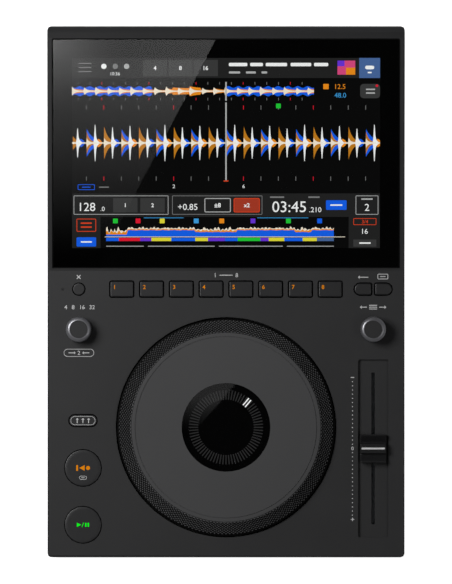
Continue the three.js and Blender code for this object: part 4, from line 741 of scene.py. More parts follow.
@dataclass
class JogWheel:
    """Large wheel: knurled ring, painted platter, clear window, and the round display below it."""

    knurls: int = 176
    knurl_rows: int = 11
    knurl_depth: float = 0.95
    cone_top: Point = (67.0, 58.3)
    cone_foot: Point = (76.3, 48.57)
    plate_sides: int = 180
    tick_count: int = 72
    tick_inner: float = 19.5
    tick_outer: float = 26.2
    tick_width: float = 0.85
    marker_degrees: float = 40.3
    display_face: float = 56.6
    centre: Point = field(default_factory=lambda: middle_of("jog_ring"))

    def build(self) -> None:
        """Build the wheel, the rim of its well and the display under its window."""
        self.build_ring()
        self.build_well_rim()
        self.build_platter()
        self.build_window()
        self.build_round_display()

    def build_ring(self) -> None:
        """Turn the ring with a fine grid on its cone and sink every other point, which leaves pyramids."""
        (top_r, top_z), (foot_r, foot_z) = self.cone_top, self.cone_foot
        rows = self.knurl_rows
        cone = [(top_r + (foot_r - top_r) * i / rows, top_z + (foot_z - top_z) * i / rows)
                for i in range(rows + 1)]
        section = [*cone, (76.6, 48.2), (76.7, 47.7), (76.7, 41.3), (76.4, 41.0), (73.6, 41.0), (73.6, 47.1),
                   (70.1, 47.1), (64.2, 54.2), (59.7, 54.2), (59.7, 56.7), (67.0, 56.7)]
        steps = 2 * self.knurls
        piece = Bench.turn(section, steps)

        def sunk(place: Vector) -> bool:
            radius = math.hypot(place.x, place.y)
            row = (radius - top_r) / (foot_r - top_r) * rows
            on_cone = abs(place.z - (top_z + (foot_z - top_z) * row / rows)) < 0.01
            if not on_cone or not 0.5 < row < rows + 0.5:
                return False
            column = round(math.atan2(place.y, place.x) / math.tau * steps)
            return (round(row) + column) % 2 == 1

        Bench.pick(piece, "VERT", sunk)
        bpy.ops.transform.shrink_fatten(value=-self.knurl_depth * MM)
        Bench.pick(piece, "FACE", lambda at, normal: normal.z > 0.2 and 48.6 < at.z < 58.2)
        bpy.ops.mesh.quads_convert_to_tris(quad_method="SHORTEST_DIAGONAL")
        Bench.shift(*self.centre)
        Bench.settle(piece, "dial_ring_knurled", "jog_wheel", "dial", Surface.DIAL, ["jog_ring"])

    def build_well_rim(self) -> None:
        """Turn a thin round rim over the straight sides of the CAD's well, a little inside them."""
        rim = Bench.turn([(77.85, 44.4), (77.6, 44.6), (77.6, 45.85), (77.65, 45.96), (77.78, 46.012),
                          (79.4, 46.012), (79.4, 44.4)], self.plate_sides, self.centre)
        Bench.settle(rim, "wheel_well_rim", "chassis", "shell", Surface.SHELL)

    def build_platter(self) -> None:
        """Turn the platter plate with its groove, and the seat and thin lip that hold the window."""
        section = [(30.2, 55.6), (33.6, 55.6), (33.6, 57.0), (66.5, 57.0), (66.7, 57.2), (66.7, 58.7),
                   (66.62, 58.88), (66.4, 59.0), (64.25, 59.0), (64.15, 58.6), (63.75, 58.6), (63.65, 59.0),
                   (31.25, 59.0), (31.2, 58.97), (31.2, 58.94), (31.8, 58.94), (31.8, 57.0), (30.2, 57.0)]
        piece = Bench.turn(section, self.plate_sides, self.centre)
        Bench.settle(piece, "platter_plate", "jog_wheel", "platter", Surface.PLATTER, ["jog_platter"])

    def build_window(self) -> None:
        """Turn the clear window with a softened rim, and the black mask ring that it lies on."""
        lens = [(0.0, 57.3), (31.0, 57.3), (31.5, 57.3), (31.5, 58.8), (31.4, 58.9), (31.0, 58.9),
                (0.0, 58.9)]
        piece = Bench.turn(lens, self.plate_sides, self.centre)
        Bench.settle(piece, "platter_window", "jog_wheel", "glass", Surface.WINDOW, ["jog_window"])
        mask = [(27.4, 57.02), (31.5, 57.02), (31.5, 57.26), (27.4, 57.26)]
        ring = Bench.turn(mask, self.plate_sides, self.centre)
        Bench.settle(ring, "platter_window_mask", "jog_wheel", "display", Surface.BORDER_INK)

    def build_round_display(self) -> None:
        """Make the ring of ticks and the double marker on the fixed round display."""
        low, high = self.display_face + 0.01, self.display_face + 0.06
        reach = self.tick_outer - self.tick_inner
        place = (0.0, self.tick_inner + reach / 2)
        tick = Bench.tile(place, (self.tick_width, reach), 0.2, low, high, 2)
        Bench.edit(tick)
        bpy.ops.mesh.spin(steps=self.tick_count, angle=math.tau, dupli=True, center=(0, 0, 0), axis=(0, 0, 1))
        bpy.ops.mesh.select_all(action="SELECT")
        bpy.ops.mesh.remove_doubles(threshold=SPUN_WELD * MM)
        Bench.shift(*self.centre)
        Bench.settle(tick, "round_display_ticks", "chassis", "display", Surface.DIM_TICK)
        bars = [Bench.tile((side * 1.0, place[1]), (0.85, reach - 0.3), 0.15, high + 0.02, high + 0.1, 2)
                for side in (-1, 1)]
        marker = Bench.join(bars)
        marker.rotation_euler = (0, 0, -math.radians(self.marker_degrees))
        marker.location = (self.centre[0] * MM, self.centre[1] * MM, 0)
        Bench.fix_place()
        Bench.settle(marker, "round_display_marker", "chassis", "display", Surface.WHITE_MARK)


# Knobs, keys and fader cap


@dataclass
class Knob:
    """Push-turn knob: blasted rim with fine flutes and a sunk matt face."""

    node: str
    sides: int = 144
    flute_depth: float = 0.16
    flute_radius: float = 8.5

    def build(self) -> None:
        """Turn the knob, press its flutes in and lay the face insert."""
        centre = middle_of(self.node)
        section = [(0.0, 59.2), (6.3, 59.2), (6.3, 59.9), (6.4, 60.0), (6.6, 60.0), (7.2, 59.9),
                   (7.75, 59.65), (8.2, 59.3), (8.55, 58.85), (8.8, 58.3), (8.93, 57.7), (8.97, 57.0),
                   (9.0, 47.3), (8.85, 46.9), (6.2, 46.9),
                   (6.2, 55.8), (1.9, 55.8), (1.9, 38.5), (1.7, 38.3), (0.0, 38.3)]
        piece = Bench.turn(section, self.sides)

        def fluted(place: Vector) -> bool:
            if math.hypot(place.x, place.y) < 7.9 or not 47.0 < place.z < 57.2:
                return False
            return round(math.atan2(place.y, place.x) / math.tau * self.sides) % 4 == 0

        Bench.pick(piece, "VERT", fluted)
        shrink = 1 - self.flute_depth / self.flute_radius
        bpy.ops.transform.resize(value=(shrink, shrink, 1), center_override=(0, 0, 0))
        Bench.shift(*centre)
        Bench.settle(piece, f"{self.node}_turned", self.node, "knob", Surface.KNOB_RIM, [self.node])
        plate = [(0.0, 59.21), (6.2, 59.21), (6.2, 59.5), (6.1, 59.6), (0.0, 59.6)]
        face = Bench.turn(plate, self.sides // 2, centre)
        Bench.settle(face, f"{self.node}_face", self.node, "knob", Surface.KNOB_FACE)


class KeyShape(Enum):
    """Outline of a key cap."""

    PAD = "pad"
    ROUND = "round"
    PILL = "pill"
    BULLET = "bullet"


@dataclass
class Key:
    """Key cap with a softened rim, a flange under the deck and a stem to its switch."""

    node: str
    shape: KeyShape
    size: Point
    top: float
    gap: float = 0.8
    flip: bool = False
    corner: float = 0.8
    rim: float = 0.8
    flange_top: float = 42.9
    flange_bottom: float = 42.1

    def outline_piece(self, grow: float, low: float, high: float, centre: Point) -> Piece:
        """Make the cap's outline, grown by a margin, between two heights."""
        width, length = self.size[0] + 2 * grow, self.size[1] + 2 * grow
        if self.shape is KeyShape.ROUND:
            return Bench.turn([(0.0, low), (width / 2, low), (width / 2, high), (0.0, high)], 96, centre)
        if self.shape is KeyShape.PAD:
            return Bench.tile(centre, (width, length), self.corner + grow, low, high, 4)
        if self.shape is KeyShape.PILL:
            return Bench.tile(centre, (width, length), length / 2, low, high, 14)
        side = -1 if self.flip else 1
        square, bend = self.corner + grow, length / 2
        flat = width / 2 - square
        outline = [*arc((-width / 2 + bend, 0.0), bend, 90, 270, 18),
                   *arc((flat, -(length / 2 - square)), square, -90, 0, 4),
                   *arc((flat, length / 2 - square), square, 0, 90, 4)]
        points = [(centre[0] + side * x, centre[1] + y) for x, y in outline]
        return Bench.slab(points if side > 0 else points[::-1], low, high)

    def build(self) -> Piece:
        """Build the key at its node's place."""
        low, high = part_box(self.node)
        centre, foot, neck = middle_of(self.node), low.z / MM, self.flange_bottom + 0.2
        if self.shape is KeyShape.BULLET:
            reach = self.size[0] / 2
            centre = (low.x / MM + reach if self.flip else high.x / MM - reach, centre[1])
        cap = self.outline_piece(0.0, self.flange_bottom + 0.4, self.top, centre)
        Bench.soften(cap, self.top, self.rim)
        flange = self.outline_piece(self.gap + 0.7, self.flange_bottom, self.flange_top, centre)
        if self.shape is KeyShape.BULLET:
            self.trim_flange(flange, centre)
        stem = Bench.turn([(0.0, foot), (1.6, foot), (1.8, foot + 0.2), (1.8, neck), (0.0, neck)], 24, centre)
        piece = Bench.join([cap, flange, stem])
        return Bench.settle(piece, f"{self.node}_cap", self.node, "key", Surface.KEY, [self.node])

    def trim_flange(self, flange: Piece, centre: Point) -> None:
        """Cut a twin key's flange off flush with its inner side, where its neighbour is."""
        side = -1 if self.flip else 1
        Bench.edit(flange)
        bpy.ops.mesh.bisect(plane_co=((centre[0] + side * self.size[0] / 2) * MM, 0, 0),
                            plane_no=(side, 0, 0), use_fill=True, clear_outer=True)
        bpy.ops.object.mode_set(mode="OBJECT")


@dataclass
class FaderCap:
    """Tempo fader's cap with two finger hollows and a white line on its ridge."""

    width: float = 17.6
    length: float = 19.9
    edge: float = 0.45
    line: float = 1.3
    lip_drop: float = 1.6
    valley_drop: float = 3.7
    end_flat: float = 0.9
    ridge_foot: float = 4.1
    ridge_top: float = 3.3

    def build(self) -> None:
        """Draw the side of the cap, extrude it across and lay the line on it."""
        low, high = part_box("fader_cap")
        (x, y), foot, top = middle_of("fader_cap"), low.z / MM, high.z / MM
        half, lip, valley = self.length / 2, top - self.lip_drop, top - self.valley_drop
        rest = half - self.end_flat
        right = [(half, foot), (half, lip), (rest, lip)]
        for step in range(1, 8):
            t = step / 8
            a, b, c = (1 - t) ** 2, 2 * t * (1 - t), t * t
            right.append((a * rest + b * 5.0 + c * self.ridge_foot, a * lip + b * valley + c * valley))
        right += [(self.ridge_foot, valley), (self.ridge_top, top)]
        side = [*right, *[(-u, z) for u, z in reversed(right)]]
        piece = Bench.wire([(-self.width / 2, u, z) for u, z in [*side, side[0]]])
        bpy.ops.mesh.edge_face_add()
        bpy.ops.mesh.extrude_region_move(TRANSFORM_OT_translate={"value": (self.width * MM, 0, 0)})
        bpy.ops.mesh.select_all(action="SELECT")
        bpy.ops.mesh.normals_make_consistent(inside=False)
        Bench.shift(x, y)

        def sharp(a: Vector, b: Vector) -> bool:
            across = abs(a.x - b.x) > 1.0
            high_up = min(a.z, b.z) > lip - 0.01
            on_end = abs(abs(a.x - x) - self.width / 2) < 0.01 and abs(abs(b.x - x) - self.width / 2) < 0.01
            return (across and high_up) or (on_end and not across and max(a.z, b.z) > foot + 1)

        Bench.pick(piece, "EDGE", sharp)
        Bench.round_edges(self.edge)
        Bench.settle(piece, "fader_cap_shaped", "tempo_fader", "key", Surface.FADER_CAP, ["fader_cap"])
        line = Bench.tile((x, y), (self.width - 1.1, self.line), 0.2, *printed(top), 2)
        Bench.settle(line, "fader_cap_line", "tempo_fader", "key", Surface.WHITE_PRINT)


class Controls:
    """All knobs, keys and the fader cap."""

    def build(self) -> None:
        """Build each control once and copy what repeats."""
        for node in ("beat_loop_knob", "browse_knob"):
            Knob(node).build()
        for node in ("cue_button", "play_button"):
            Key(node, KeyShape.ROUND, (25.6, 25.6), ROUND_KEY_TOP, gap=0.6, rim=0.5).build()
        Key("delete_button", KeyShape.ROUND, (8.0, 8.0), PAD_TOP).build()
        Key("shift_button", KeyShape.PILL, (19.2, 7.8), SHIFT_TOP).build()
        for node, flip in (("back_button", False), ("tag_button", True)):
            Key(node, KeyShape.BULLET, (11.9, 8.0), PAD_TOP, corner=1.0, flip=flip).build()
        self.build_pads()
        FaderCap().build()

    def build_pads(self) -> None:
        """Model the first pad and copy it along the row."""
        first = Key("hot_cue_button_1", KeyShape.PAD, (16.3, 10.8), PAD_TOP).build()
        start = middle_of("hot_cue_button_1")
        for number in range(2, PAD_COUNT + 1):
            node = f"hot_cue_button_{number}"
            there = middle_of(node)
            piece = Bench.copy_to(first, Vector((there[0] - start[0], there[1] - start[1], 0)))
            # The copy comes with the first pad's parent and with its list of replaced nodes.
            piece.parent = None
            Bench.settle(piece, f"{node}_cap", node, "key", Surface.KEY, [node])
            piece["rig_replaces"] = [node]


# Print on the deck and on the keys


@dataclass
class DeckPrint:
    """Silk-screened signs and scales on the deck, and the lit signs on the keys."""

    low: float = DECK_Z - PRINT_SUNK
    high: float = DECK_Z + PRINT_PROUD
    stroke: float = 0.62
    figure: float = 3.0
    parts: list[Piece] = field(default_factory=list)

    def build(self) -> None:
        """Print the deck's legend as one piece, then each key's sign."""
        self.print_row_signs()
        self.print_side_signs()
        self.print_fader_scale()
        Bench.settle(Bench.join(self.parts), "deck_legend", "chassis", "shell", Surface.LEGEND_INK)
        self.print_pads()
        self.print_round_keys()
        self.print_shift()

    def bar(self, start: Point, end: Point, low: float, high: float) -> Piece:
        """Make a straight stroke between two places."""
        along = Vector((end[0] - start[0], end[1] - start[1])).normalized() * self.stroke / 2
        x, y = -along.y, along.x
        (a, b), (c, d) = start, end
        return Bench.slab([(a + x, b + y), (a - x, b - y), (c - x, d - y), (c + x, d + y)], low, high)

    def arrow(self, centre: Point, length: float, degrees: float, low: float, high: float,
              head: float = 1.3) -> Piece:
        """Make a small solid arrow that points along an angle."""
        half, thick = length / 2, self.stroke / 2
        outline = [(-half, -thick), (half - head, -thick), (half - head, -head), (half, 0.0),
                   (half - head, head), (half - head, thick), (-half, thick)]
        c, s = math.cos(math.radians(degrees)), math.sin(math.radians(degrees))
        return Bench.slab([(centre[0] + x * c - y * s, centre[1] + x * s + y * c) for x, y in outline],
                          low, high)

    def print_row_signs(self) -> None:
        """Print the signs above the pad row: its range of numbers, delete, back and tag."""
        low, high, half = self.low, self.high, 1.35
        x, y = -103.9, 10.6
        self.parts += [
            Bench.figures("1", (-7.6, 11.85), self.figure, low, high, 0.015),
            Bench.tile((0.0, 11.85), (9.4, self.stroke), 0.2, low, high, 2),
            Bench.figures("8", (7.6, 11.85), self.figure, low, high, 0.015),
            self.bar((x - half, y - half), (x + half, y + half), low, high),
            self.bar((x - half, y + half), (x + half, y - half), low, high - 0.002),
            self.arrow((96.7, 10.4), 7.4, 180, low, high),
            Bench.hoop((110.6, 10.9), (7.6, 3.9), 0.9, 0.5, low, high),
            Bench.tile((110.6, 10.9), (3.8, self.stroke), 0.2, low, high, 2),
        ]

    def print_side_signs(self) -> None:
        """Print the signs beside the knobs and the pill below the left one."""
        low, high = self.low, self.high
        for text, x in (("4", -113.0), ("8", -107.8), ("16", -101.2), ("32", -94.4)):
            self.parts.append(Bench.figures(text, (x, -10.7), self.figure, low, high, 0.015))
        self.parts += [
            self.arrow((96.9, -10.7), 5.0, 180, low, high),
            *[Bench.tile((103.75, y), (5.6, self.stroke), 0.2, low, high, 2) for y in (-9.4, -10.7, -12.0)],
            self.arrow((110.6, -10.7), 5.0, 0, low, high),
            Bench.hoop((-103.75, -42.9), (21.4, 5.5), 2.74, 0.36, low, high, 8),
            self.arrow((-108.6, -42.9), 5.0, 0, low, high, 1.1),
            Bench.figures("2", (-103.75, -42.9), 2.9, low, high, 0.01),
            self.arrow((-98.9, -42.9), 5.0, 180, low, high, 1.1),
        ]

    def print_fader_scale(self) -> None:
        """Print the fader's plain scale: minus, nought, plus, and dots between."""
        low, high, x = self.low, self.high, 89.2
        middle = middle_of("fader_panel")[1]
        reach, dots = 50.05, 16
        self.parts += [
            Bench.tile((x, middle + reach), (2.5, self.stroke), 0.2, low, high, 2),
            Bench.figures("0", (x, middle), 2.6, low, high, 0.01),
            Bench.tile((x, middle - reach), (2.5, self.stroke), 0.2, low, high, 2),
            Bench.tile((x, middle - reach), (self.stroke, 2.5), 0.2, low, high - 0.002, 2),
        ]
        dot = Bench.tile((x, middle), (0.76, 0.76), 0.37, low, high, 4)
        for side in (-1, 1):
            for step in range(1, dots + 1):
                shift = Vector((0, side * step * reach / (dots + 1), 0))
                self.parts.append(Bench.copy_to(dot, shift))
        bpy.data.objects.remove(dot)

    def print_pads(self) -> None:
        """Print a lit number at the upper left of each pad."""
        low, high = printed(PAD_TOP)
        for number in range(1, PAD_COUNT + 1):
            node = f"hot_cue_button_{number}"
            x, y = middle_of(node)
            sign = Bench.figures(str(number), (x - 5.1, y + 1.5), 2.9, low, high, 0.01)
            Bench.settle(sign, f"pad_number_{number}", node, "key", Surface.AMBER_LEGEND)

    def print_round_keys(self) -> None:
        """Print the lit signs of the two large keys."""
        low, high = printed(ROUND_KEY_TOP)
        x, y = middle_of("cue_button")
        bar = Bench.tile((x - 4.1, y), (1.3, 4.0), 0.2, low, high, 2)
        wedge = Bench.slab([(x - 2.6, y), (x + 1.2, y + 2.0), (x + 1.2, y - 2.0)], low, high)
        dot = Bench.tile((x + 3.6, y), (2.8, 2.8), 1.35, low, high, 6)
        Bench.settle(Bench.join([bar, wedge, dot]), "cue_sign", "cue_button", "key", Surface.AMBER_LEGEND)
        pill = Bench.hoop((x, y - 6.9), (5.4, 2.7), 1.34, 0.34, low, high, 8)
        mark = Bench.tile((x, y - 6.9), (2.4, 0.45), 0.2, low, high, 2)
        Bench.settle(Bench.join([pill, mark]), "cue_pill", "cue_button", "key", Surface.LEGEND_INK)
        x, y = middle_of("play_button")
        wedge = Bench.slab([(x - 4.3, y + 1.5), (x - 1.2, y), (x - 4.3, y - 1.5)], low, high)
        slash = Bench.slab([(x - 0.9, y - 1.5), (x - 0.4, y - 1.5), (x + 0.7, y + 1.5), (x + 0.2, y + 1.5)],
                           low, high)
        bars = [Bench.tile((x + shift, y), (1.05, 2.8), 0.1, low, high, 2) for shift in (2.0, 3.8)]
        Bench.settle(Bench.join([wedge, slash, *bars]), "play_sign", "play_button", "key",
                     Surface.GREEN_LEGEND)

    def print_shift(self) -> None:
        """Print the inner outline and the three arrows of the shift key."""
        low, high = printed(SHIFT_TOP)
        x, y = middle_of("shift_button")
        pill = Bench.hoop((x, y), (17.4, 6.2), 3.09, 0.3, low, high, 10)
        signs = [self.arrow((x + shift, y), 3.6, 90, low, high, 1.2) for shift in (-4.0, 0.0, 4.0)]
        Bench.settle(Bench.join([pill, *signs]), "shift_sign", "shift_button", "key", Surface.LEGEND_INK)


# The lit screen


class Ink(FinishSet):
    """Colours that the screen shows, each one lit material."""

    FIELD = LitPixels("screen_black", "#090909")
    BAR = LitPixels("screen_dark_grey", "#232323")
    TILE = LitPixels("screen_tile_grey", "#3b3b3b")
    LINE = LitPixels("screen_line_grey", "#7c7c7c")
    PALE = LitPixels("screen_pale_grey", "#b4b4b4")
    WHITE = LitPixels("screen_white", "#fafafa")
    CREAM = LitPixels("screen_cream", "#f7ead6")
    BLUE = LitPixels("screen_blue", "#1560ea")
    SKY = LitPixels("screen_sky_blue", "#3f9fe0")
    SLATE = LitPixels("screen_slate_blue", "#48679c")
    AMBER = LitPixels("screen_amber", "#ee8d1c")
    OCHRE = LitPixels("screen_ochre", "#c27c1e")
    RUST = LitPixels("screen_rust", "#a63a26")
    FLAME = LitPixels("screen_flame", "#e0431f")
    RED = LitPixels("screen_red", "#e41b33")
    GREEN = LitPixels("screen_green", "#21c838")
    VIOLET = LitPixels("screen_violet", "#6a35d8")
    ROSE = LitPixels("screen_rose", "#d94a80")
    YELLOW = LitPixels("screen_yellow", "#e6dc3a")


@dataclass
class Screen:
    """Display under the glass: black border, dark field, and a generic playing view in layers of colour."""

    half_width: float = 108.5
    foot: float = 15.9
    head: float = 151.5
    beat: float = 12.3
    wave_centre: float = 90.9
    wave_reach: float = 13.2
    floor: float = -2.385
    layer: float = 0.028
    skin: float = 0.022
    ink_half_width: float = 122.05
    ink_foot: float = 0.7
    ink_head: float = 165.0
    ink_back: float = -2.14
    ink_front: float = -2.105
    sill_half_width: float = 122.7
    sill_foot: float = 0.04
    sill_head: float = 1.75
    lip_half_width: float = 122.65
    lip_foot: float = 1.76
    lip_head: float = 165.6
    lip_line: float = 0.8
    joint_floor: float = -0.085
    sill_top: float = -0.005
    lip_top: float = -0.01
    drawn: dict[Ink, list[Piece]] = field(default_factory=dict)

    def build(self) -> None:
        """Draw all bands of the view, then settle one piece for each colour."""
        self.draw_border()
        self.lay_joint()
        self.block(Ink.FIELD, 0, -self.half_width, self.foot, self.half_width, self.head)
        self.draw_header()
        self.draw_zoomed_out_wave()
        self.draw_main_wave()
        self.draw_info_row()
        self.draw_overview()
        for ink, parts in self.drawn.items():
            piece = Bench.join(parts)
            Bench.lay_on_slope(piece)
            Bench.settle(piece, ink.value.name, "chassis", "display", ink)

    def levels(self, level: int) -> Point:
        """Return the bottom and top of a layer, level 0 lying on the panel."""
        low = self.floor + level * self.layer
        return (low, low + self.skin)

    def keep(self, ink: Ink, piece: Piece) -> None:
        """Put a drawn part with the others of its colour."""
        self.drawn.setdefault(ink, []).append(piece)

    def block(self, ink: Ink, level: int, left: float, low: float, right: float, high: float,
              radius: float = 0.0) -> None:
        """Draw a filled box by its edges."""
        self.keep(ink, Bench.tile(*box_of(left, low, right, high), radius, *self.levels(level), 3))

    def outline(self, ink: Ink, level: int, left: float, low: float, right: float, high: float,
                radius: float = 0.6, width: float = 0.4) -> None:
        """Draw an outlined box by its edges."""
        self.keep(ink, Bench.hoop(*box_of(left, low, right, high), radius, width, *self.levels(level), 3))

    def number(self, ink: Ink, level: int, text: str, x: float, s: float, height: float,
               thicken: float = 0.0) -> None:
        """Draw figures centred on a place."""
        self.keep(ink, Bench.figures(text, (x, s), height, *self.levels(level), thicken))

    def ridge(self, ink: Ink, level: int, xs: Sequence[float], tops: Sequence[float], base: float,
              mirrored: bool = False) -> None:
        """Draw a filled graph above a base line, or on both sides of it."""
        bottom, top = self.levels(level)
        upper = [(x, base + height) for x, height in zip(xs, tops)]
        if mirrored:
            lower = [(x, base - height) for x, height in zip(xs, tops)][::-1]
        else:
            lower = [(xs[-1], base - 0.1), (xs[0], base - 0.1)]
        self.keep(ink, Bench.slab([*upper, *lower], bottom, top))

    def draw_border(self) -> None:
        """Draw the black ink border under the glass, open over the lit field."""
        low, high, half = self.ink_foot, self.ink_head, self.ink_half_width
        middle, margin = (low + high) / 2, half - self.half_width
        border = Bench.flat_tile((0, middle), (2 * half, high - low), 0.6, self.ink_back, 3)
        bpy.ops.mesh.select_mode(type="FACE")
        bpy.ops.mesh.select_all(action="SELECT")
        bpy.ops.mesh.inset(thickness=margin * MM, depth=0)
        stretch = (self.head - self.foot) / (high - low - 2 * margin)
        bpy.ops.transform.resize(value=(1, stretch, 1), center_override=(0, middle * MM, 0))
        bpy.ops.transform.translate(value=(0, ((self.foot + self.head) / 2 - middle) * MM, 0))
        bpy.ops.mesh.delete(type="FACE")
        Bench.raise_faces(self.ink_back, self.ink_front)
        Bench.lay_on_slope(border)
        Bench.settle(border, "screen_border", "chassis", "glass", Surface.BORDER_INK)

    def lay_joint(self) -> None:
        """Lay a thin sill where the photo shows the glass end, and a dead black lip over the gap round it as
        painted shade.
        """
        half, foot, head = self.sill_half_width, self.sill_foot, self.sill_head
        corners = [(-half, foot), (half, foot), (half, head), (-half, head)]
        sill = Bench.slab(corners, self.joint_floor, self.sill_top)
        Bench.lay_on_slope(sill)
        Bench.settle(sill, "screen_sill", "chassis", "shell", Surface.SHELL)
        frame_box = box_of(-self.lip_half_width, self.lip_foot, self.lip_half_width, self.lip_head)
        # The lip is dead black: painted shade over the gap round the glass.
        lip = Bench.hoop(*frame_box, 0.9, self.lip_line, self.joint_floor, self.lip_top, 4)
        Bench.lay_on_slope(lip)
        Bench.settle(lip, "screen_gap_shade", "chassis", "rubber", Surface.GASKET)

    def draw_header(self) -> None:
        """Draw the bar along the head: menu lines, clock, tiles, bars for a title, and two pictures."""
        edge = self.half_width
        self.block(Ink.BAR, 1, -edge, 137.2, edge, self.head)
        for s in (147.6, 144.7, 141.8):
            self.block(Ink.LINE, 2, -103.8, s - 0.35, -94.8, s + 0.35)
        for ink, x in ((Ink.WHITE, -86.0), (Ink.LINE, -78.0), (Ink.PALE, -70.0)):
            self.block(ink, 2, x - 1.9, 143.6, x + 1.9, 147.4, 1.85)
        self.number(Ink.WHITE, 2, "10:36", -78.0, 140.2, 2.3)
        for index, text in enumerate(("4", "8", "16")):
            left = -58.5 + index * 17.9
            self.block(Ink.TILE, 2, left, 138.5, left + 17.0, 150.1)
            self.number(Ink.WHITE, 3, text, left + 8.5, 144.3, 3.0, 0.02)
        for left, right in ((2.0, 15.0), (17.0, 26.0), (28.0, 43.0), (45.5, 60.0), (62.0, 72.0)):
            self.block(Ink.WHITE, 2, left, 145.6, right, 148.0, 0.7)
        for left, right in ((2.0, 10.0), (14.0, 21.0), (25.0, 29.0)):
            self.block(Ink.PALE, 2, left, 140.4, right, 141.9, 0.5)
        self.block(Ink.ROSE, 2, 78.5, 139.6, 91.0, 149.6)
        self.block(Ink.AMBER, 3, 84.5, 139.6, 91.0, 144.6)
        self.block(Ink.VIOLET, 3, 78.5, 145.6, 83.5, 149.6)
        self.block(Ink.SLATE, 2, 93.8, 137.2, edge, self.head)
        self.block(Ink.WHITE, 3, 98.0, 143.4, 104.4, 146.0, 1.2)
        self.block(Ink.WHITE, 3, 99.8, 140.6, 102.6, 141.6, 0.3)

    def draw_zoomed_out_wave(self) -> None:
        """Draw the small wave of the coming bars, its ticks, and the counters beside it."""
        left, right, middle = -self.half_width, 62.0, 127.8
        step = 0.8
        xs = [left + i * step for i in range(int((right - left) / step) + 1)]

        def swell(x: float, pitch: float, decay: float) -> float:
            """Height of a beat that starts each pitch and dies away."""
            return math.exp(-((x - left) % pitch) / decay)

        blue = [1.0 + 2.6 * (0.75 + 0.25 * math.sin(x * 0.9)) if x > 0 or x < -52 else 0.6 for x in xs]
        ochre = [0.7 + 1.5 * swell(x, 16.6, 5.0) + (1.4 if -38 < x < -18 else 0.0) for x in xs]
        cream = [0.35 + 3.0 * swell(x, 8.3, 1.8) for x in xs]
        for ink, level, heights in ((Ink.BLUE, 1, blue), (Ink.AMBER, 2, ochre), (Ink.CREAM, 3, cream)):
            self.ridge(ink, level, xs, heights, middle, True)
        for index in range(20):
            x = left + 4.4 + index * 8.3
            ink = Ink.RED if index % 4 == 2 else Ink.LINE
            for s in (133.4, 122.2):
                self.block(ink, 1, x - 0.18, s - 0.9, x + 0.18, s + 0.9)
        self.block(Ink.AMBER, 1, 68.5, 129.2, 72.3, 133.0, 0.3)
        self.number(Ink.AMBER, 1, "12.5", 80.5, 131.1, 3.4)
        self.number(Ink.SKY, 1, "48.0", 80.5, 124.9, 3.4)
        self.block(Ink.TILE, 1, 94.5, 122.8, self.half_width, 133.0, 2.4)
        self.block(Ink.PALE, 2, 98.6, 126.0, 105.0, 127.0, 0.3)
        self.block(Ink.PALE, 2, 98.6, 128.6, 105.0, 129.6, 0.3)
        self.block(Ink.RED, 2, 105.4, 130.8, 107.2, 132.6, 0.8)

    def draw_main_wave(self) -> None:
        """Draw the main wave beat by beat, its ticks and the playing line."""
        centre, reach = self.wave_centre, self.wave_reach
        rise = [0.0, 0.3, 0.6, 1.0, 1.5, 2.1, 2.8, 3.6, 4.5, 5.5, 6.6, 7.8, 9.2]

        def decaying(height: float, decay: float, tail: float) -> list[float]:
            """Heights of a beat along its rise and fall."""
            return [0.5 if x == 0 else tail + (height - tail) * math.exp(-(x - 0.25) / decay) for x in rise]

        beats = int(self.half_width / self.beat)
        for index in range(-beats - 1, beats + 1):
            start = index * self.beat
            strong = 1.0 if index % 2 else 0.9
            inside = [i for i, x in enumerate(rise) if -self.half_width <= start + x <= self.half_width]
            xs = [start + rise[i] for i in inside]
            blues, ochres = ((0.84, 4.6), (0.7, 1.9)) if index % 2 == 0 else ((0.5, 3.4), (0.9, 2.7))
            for ink, level, (share, decay), tail in (
                    (Ink.BLUE, 1, blues, 0.6), (Ink.OCHRE, 2, ochres, 0.5), (Ink.CREAM, 3, (0.3, 1.3), 0.45)):
                tops = decaying(share * strong * reach, decay, tail)
                self.ridge(ink, level, xs, [tops[i] for i in inside], centre, True)
            middle = start + self.beat / 2
            if -self.half_width < middle - 1.2 and middle + 3.2 < self.half_width:
                peak = reach * (0.98, 0.84, 0.92, 0.78)[index % 4]
                spike = [-1.15, -0.75, -0.2, 0.2, 0.7, 1.3, 2.2, 3.2]
                tops = [0.5, 0.26 * peak, peak, peak, 0.42 * peak, 2.4, 1.3, 0.4]
                self.ridge(Ink.WHITE, 3, [middle + x for x in spike], tops, centre, True)
                puff = [0.6, 1.3, 2.2, 3.1, 4.0, 5.0]
                swell = [0.3, 2.2, 3.0, 2.6, 1.9, 0.5]
                ink = Ink.AMBER if index % 2 == 0 else Ink.BLUE
                self.ridge(ink, 2, [middle + x for x in puff], swell, centre, True)
            if index >= -beats:
                tick = Ink.RED if index % 4 == 1 else Ink.LINE
                for s in (116.2, 65.5):
                    self.block(tick, 1, start - 0.2, s - 1.5, start + 0.2, s + 1.5)
        self.block(Ink.CREAM, 3, -self.half_width, centre - 0.45, self.half_width, centre + 0.45)
        self.block(Ink.PALE, 5, -0.5, 64.4, 0.5, 119.8)
        self.block(Ink.PALE, 5, -0.5, 121.0, 0.5, 134.4)
        self.block(Ink.FLAME, 5, -1.7, 63.4, 1.7, 64.2)
        self.block(Ink.GREEN, 2, 35.2, 115.6, 38.6, 119.0, 0.4)
        for text, x in (("2", -3 * self.beat), ("6", self.beat)):
            self.number(Ink.WHITE, 2, text, x + 0.1, 60.0, 2.6)
        self.outline(Ink.BLUE, 2, -104.5, 57.4, -92.5, 61.4)
        self.block(Ink.BLUE, 2, -101.5, 59.1, -95.5, 59.7)
        self.block(Ink.LINE, 2, -89.5, 59.0, -82.5, 59.8, 0.3)

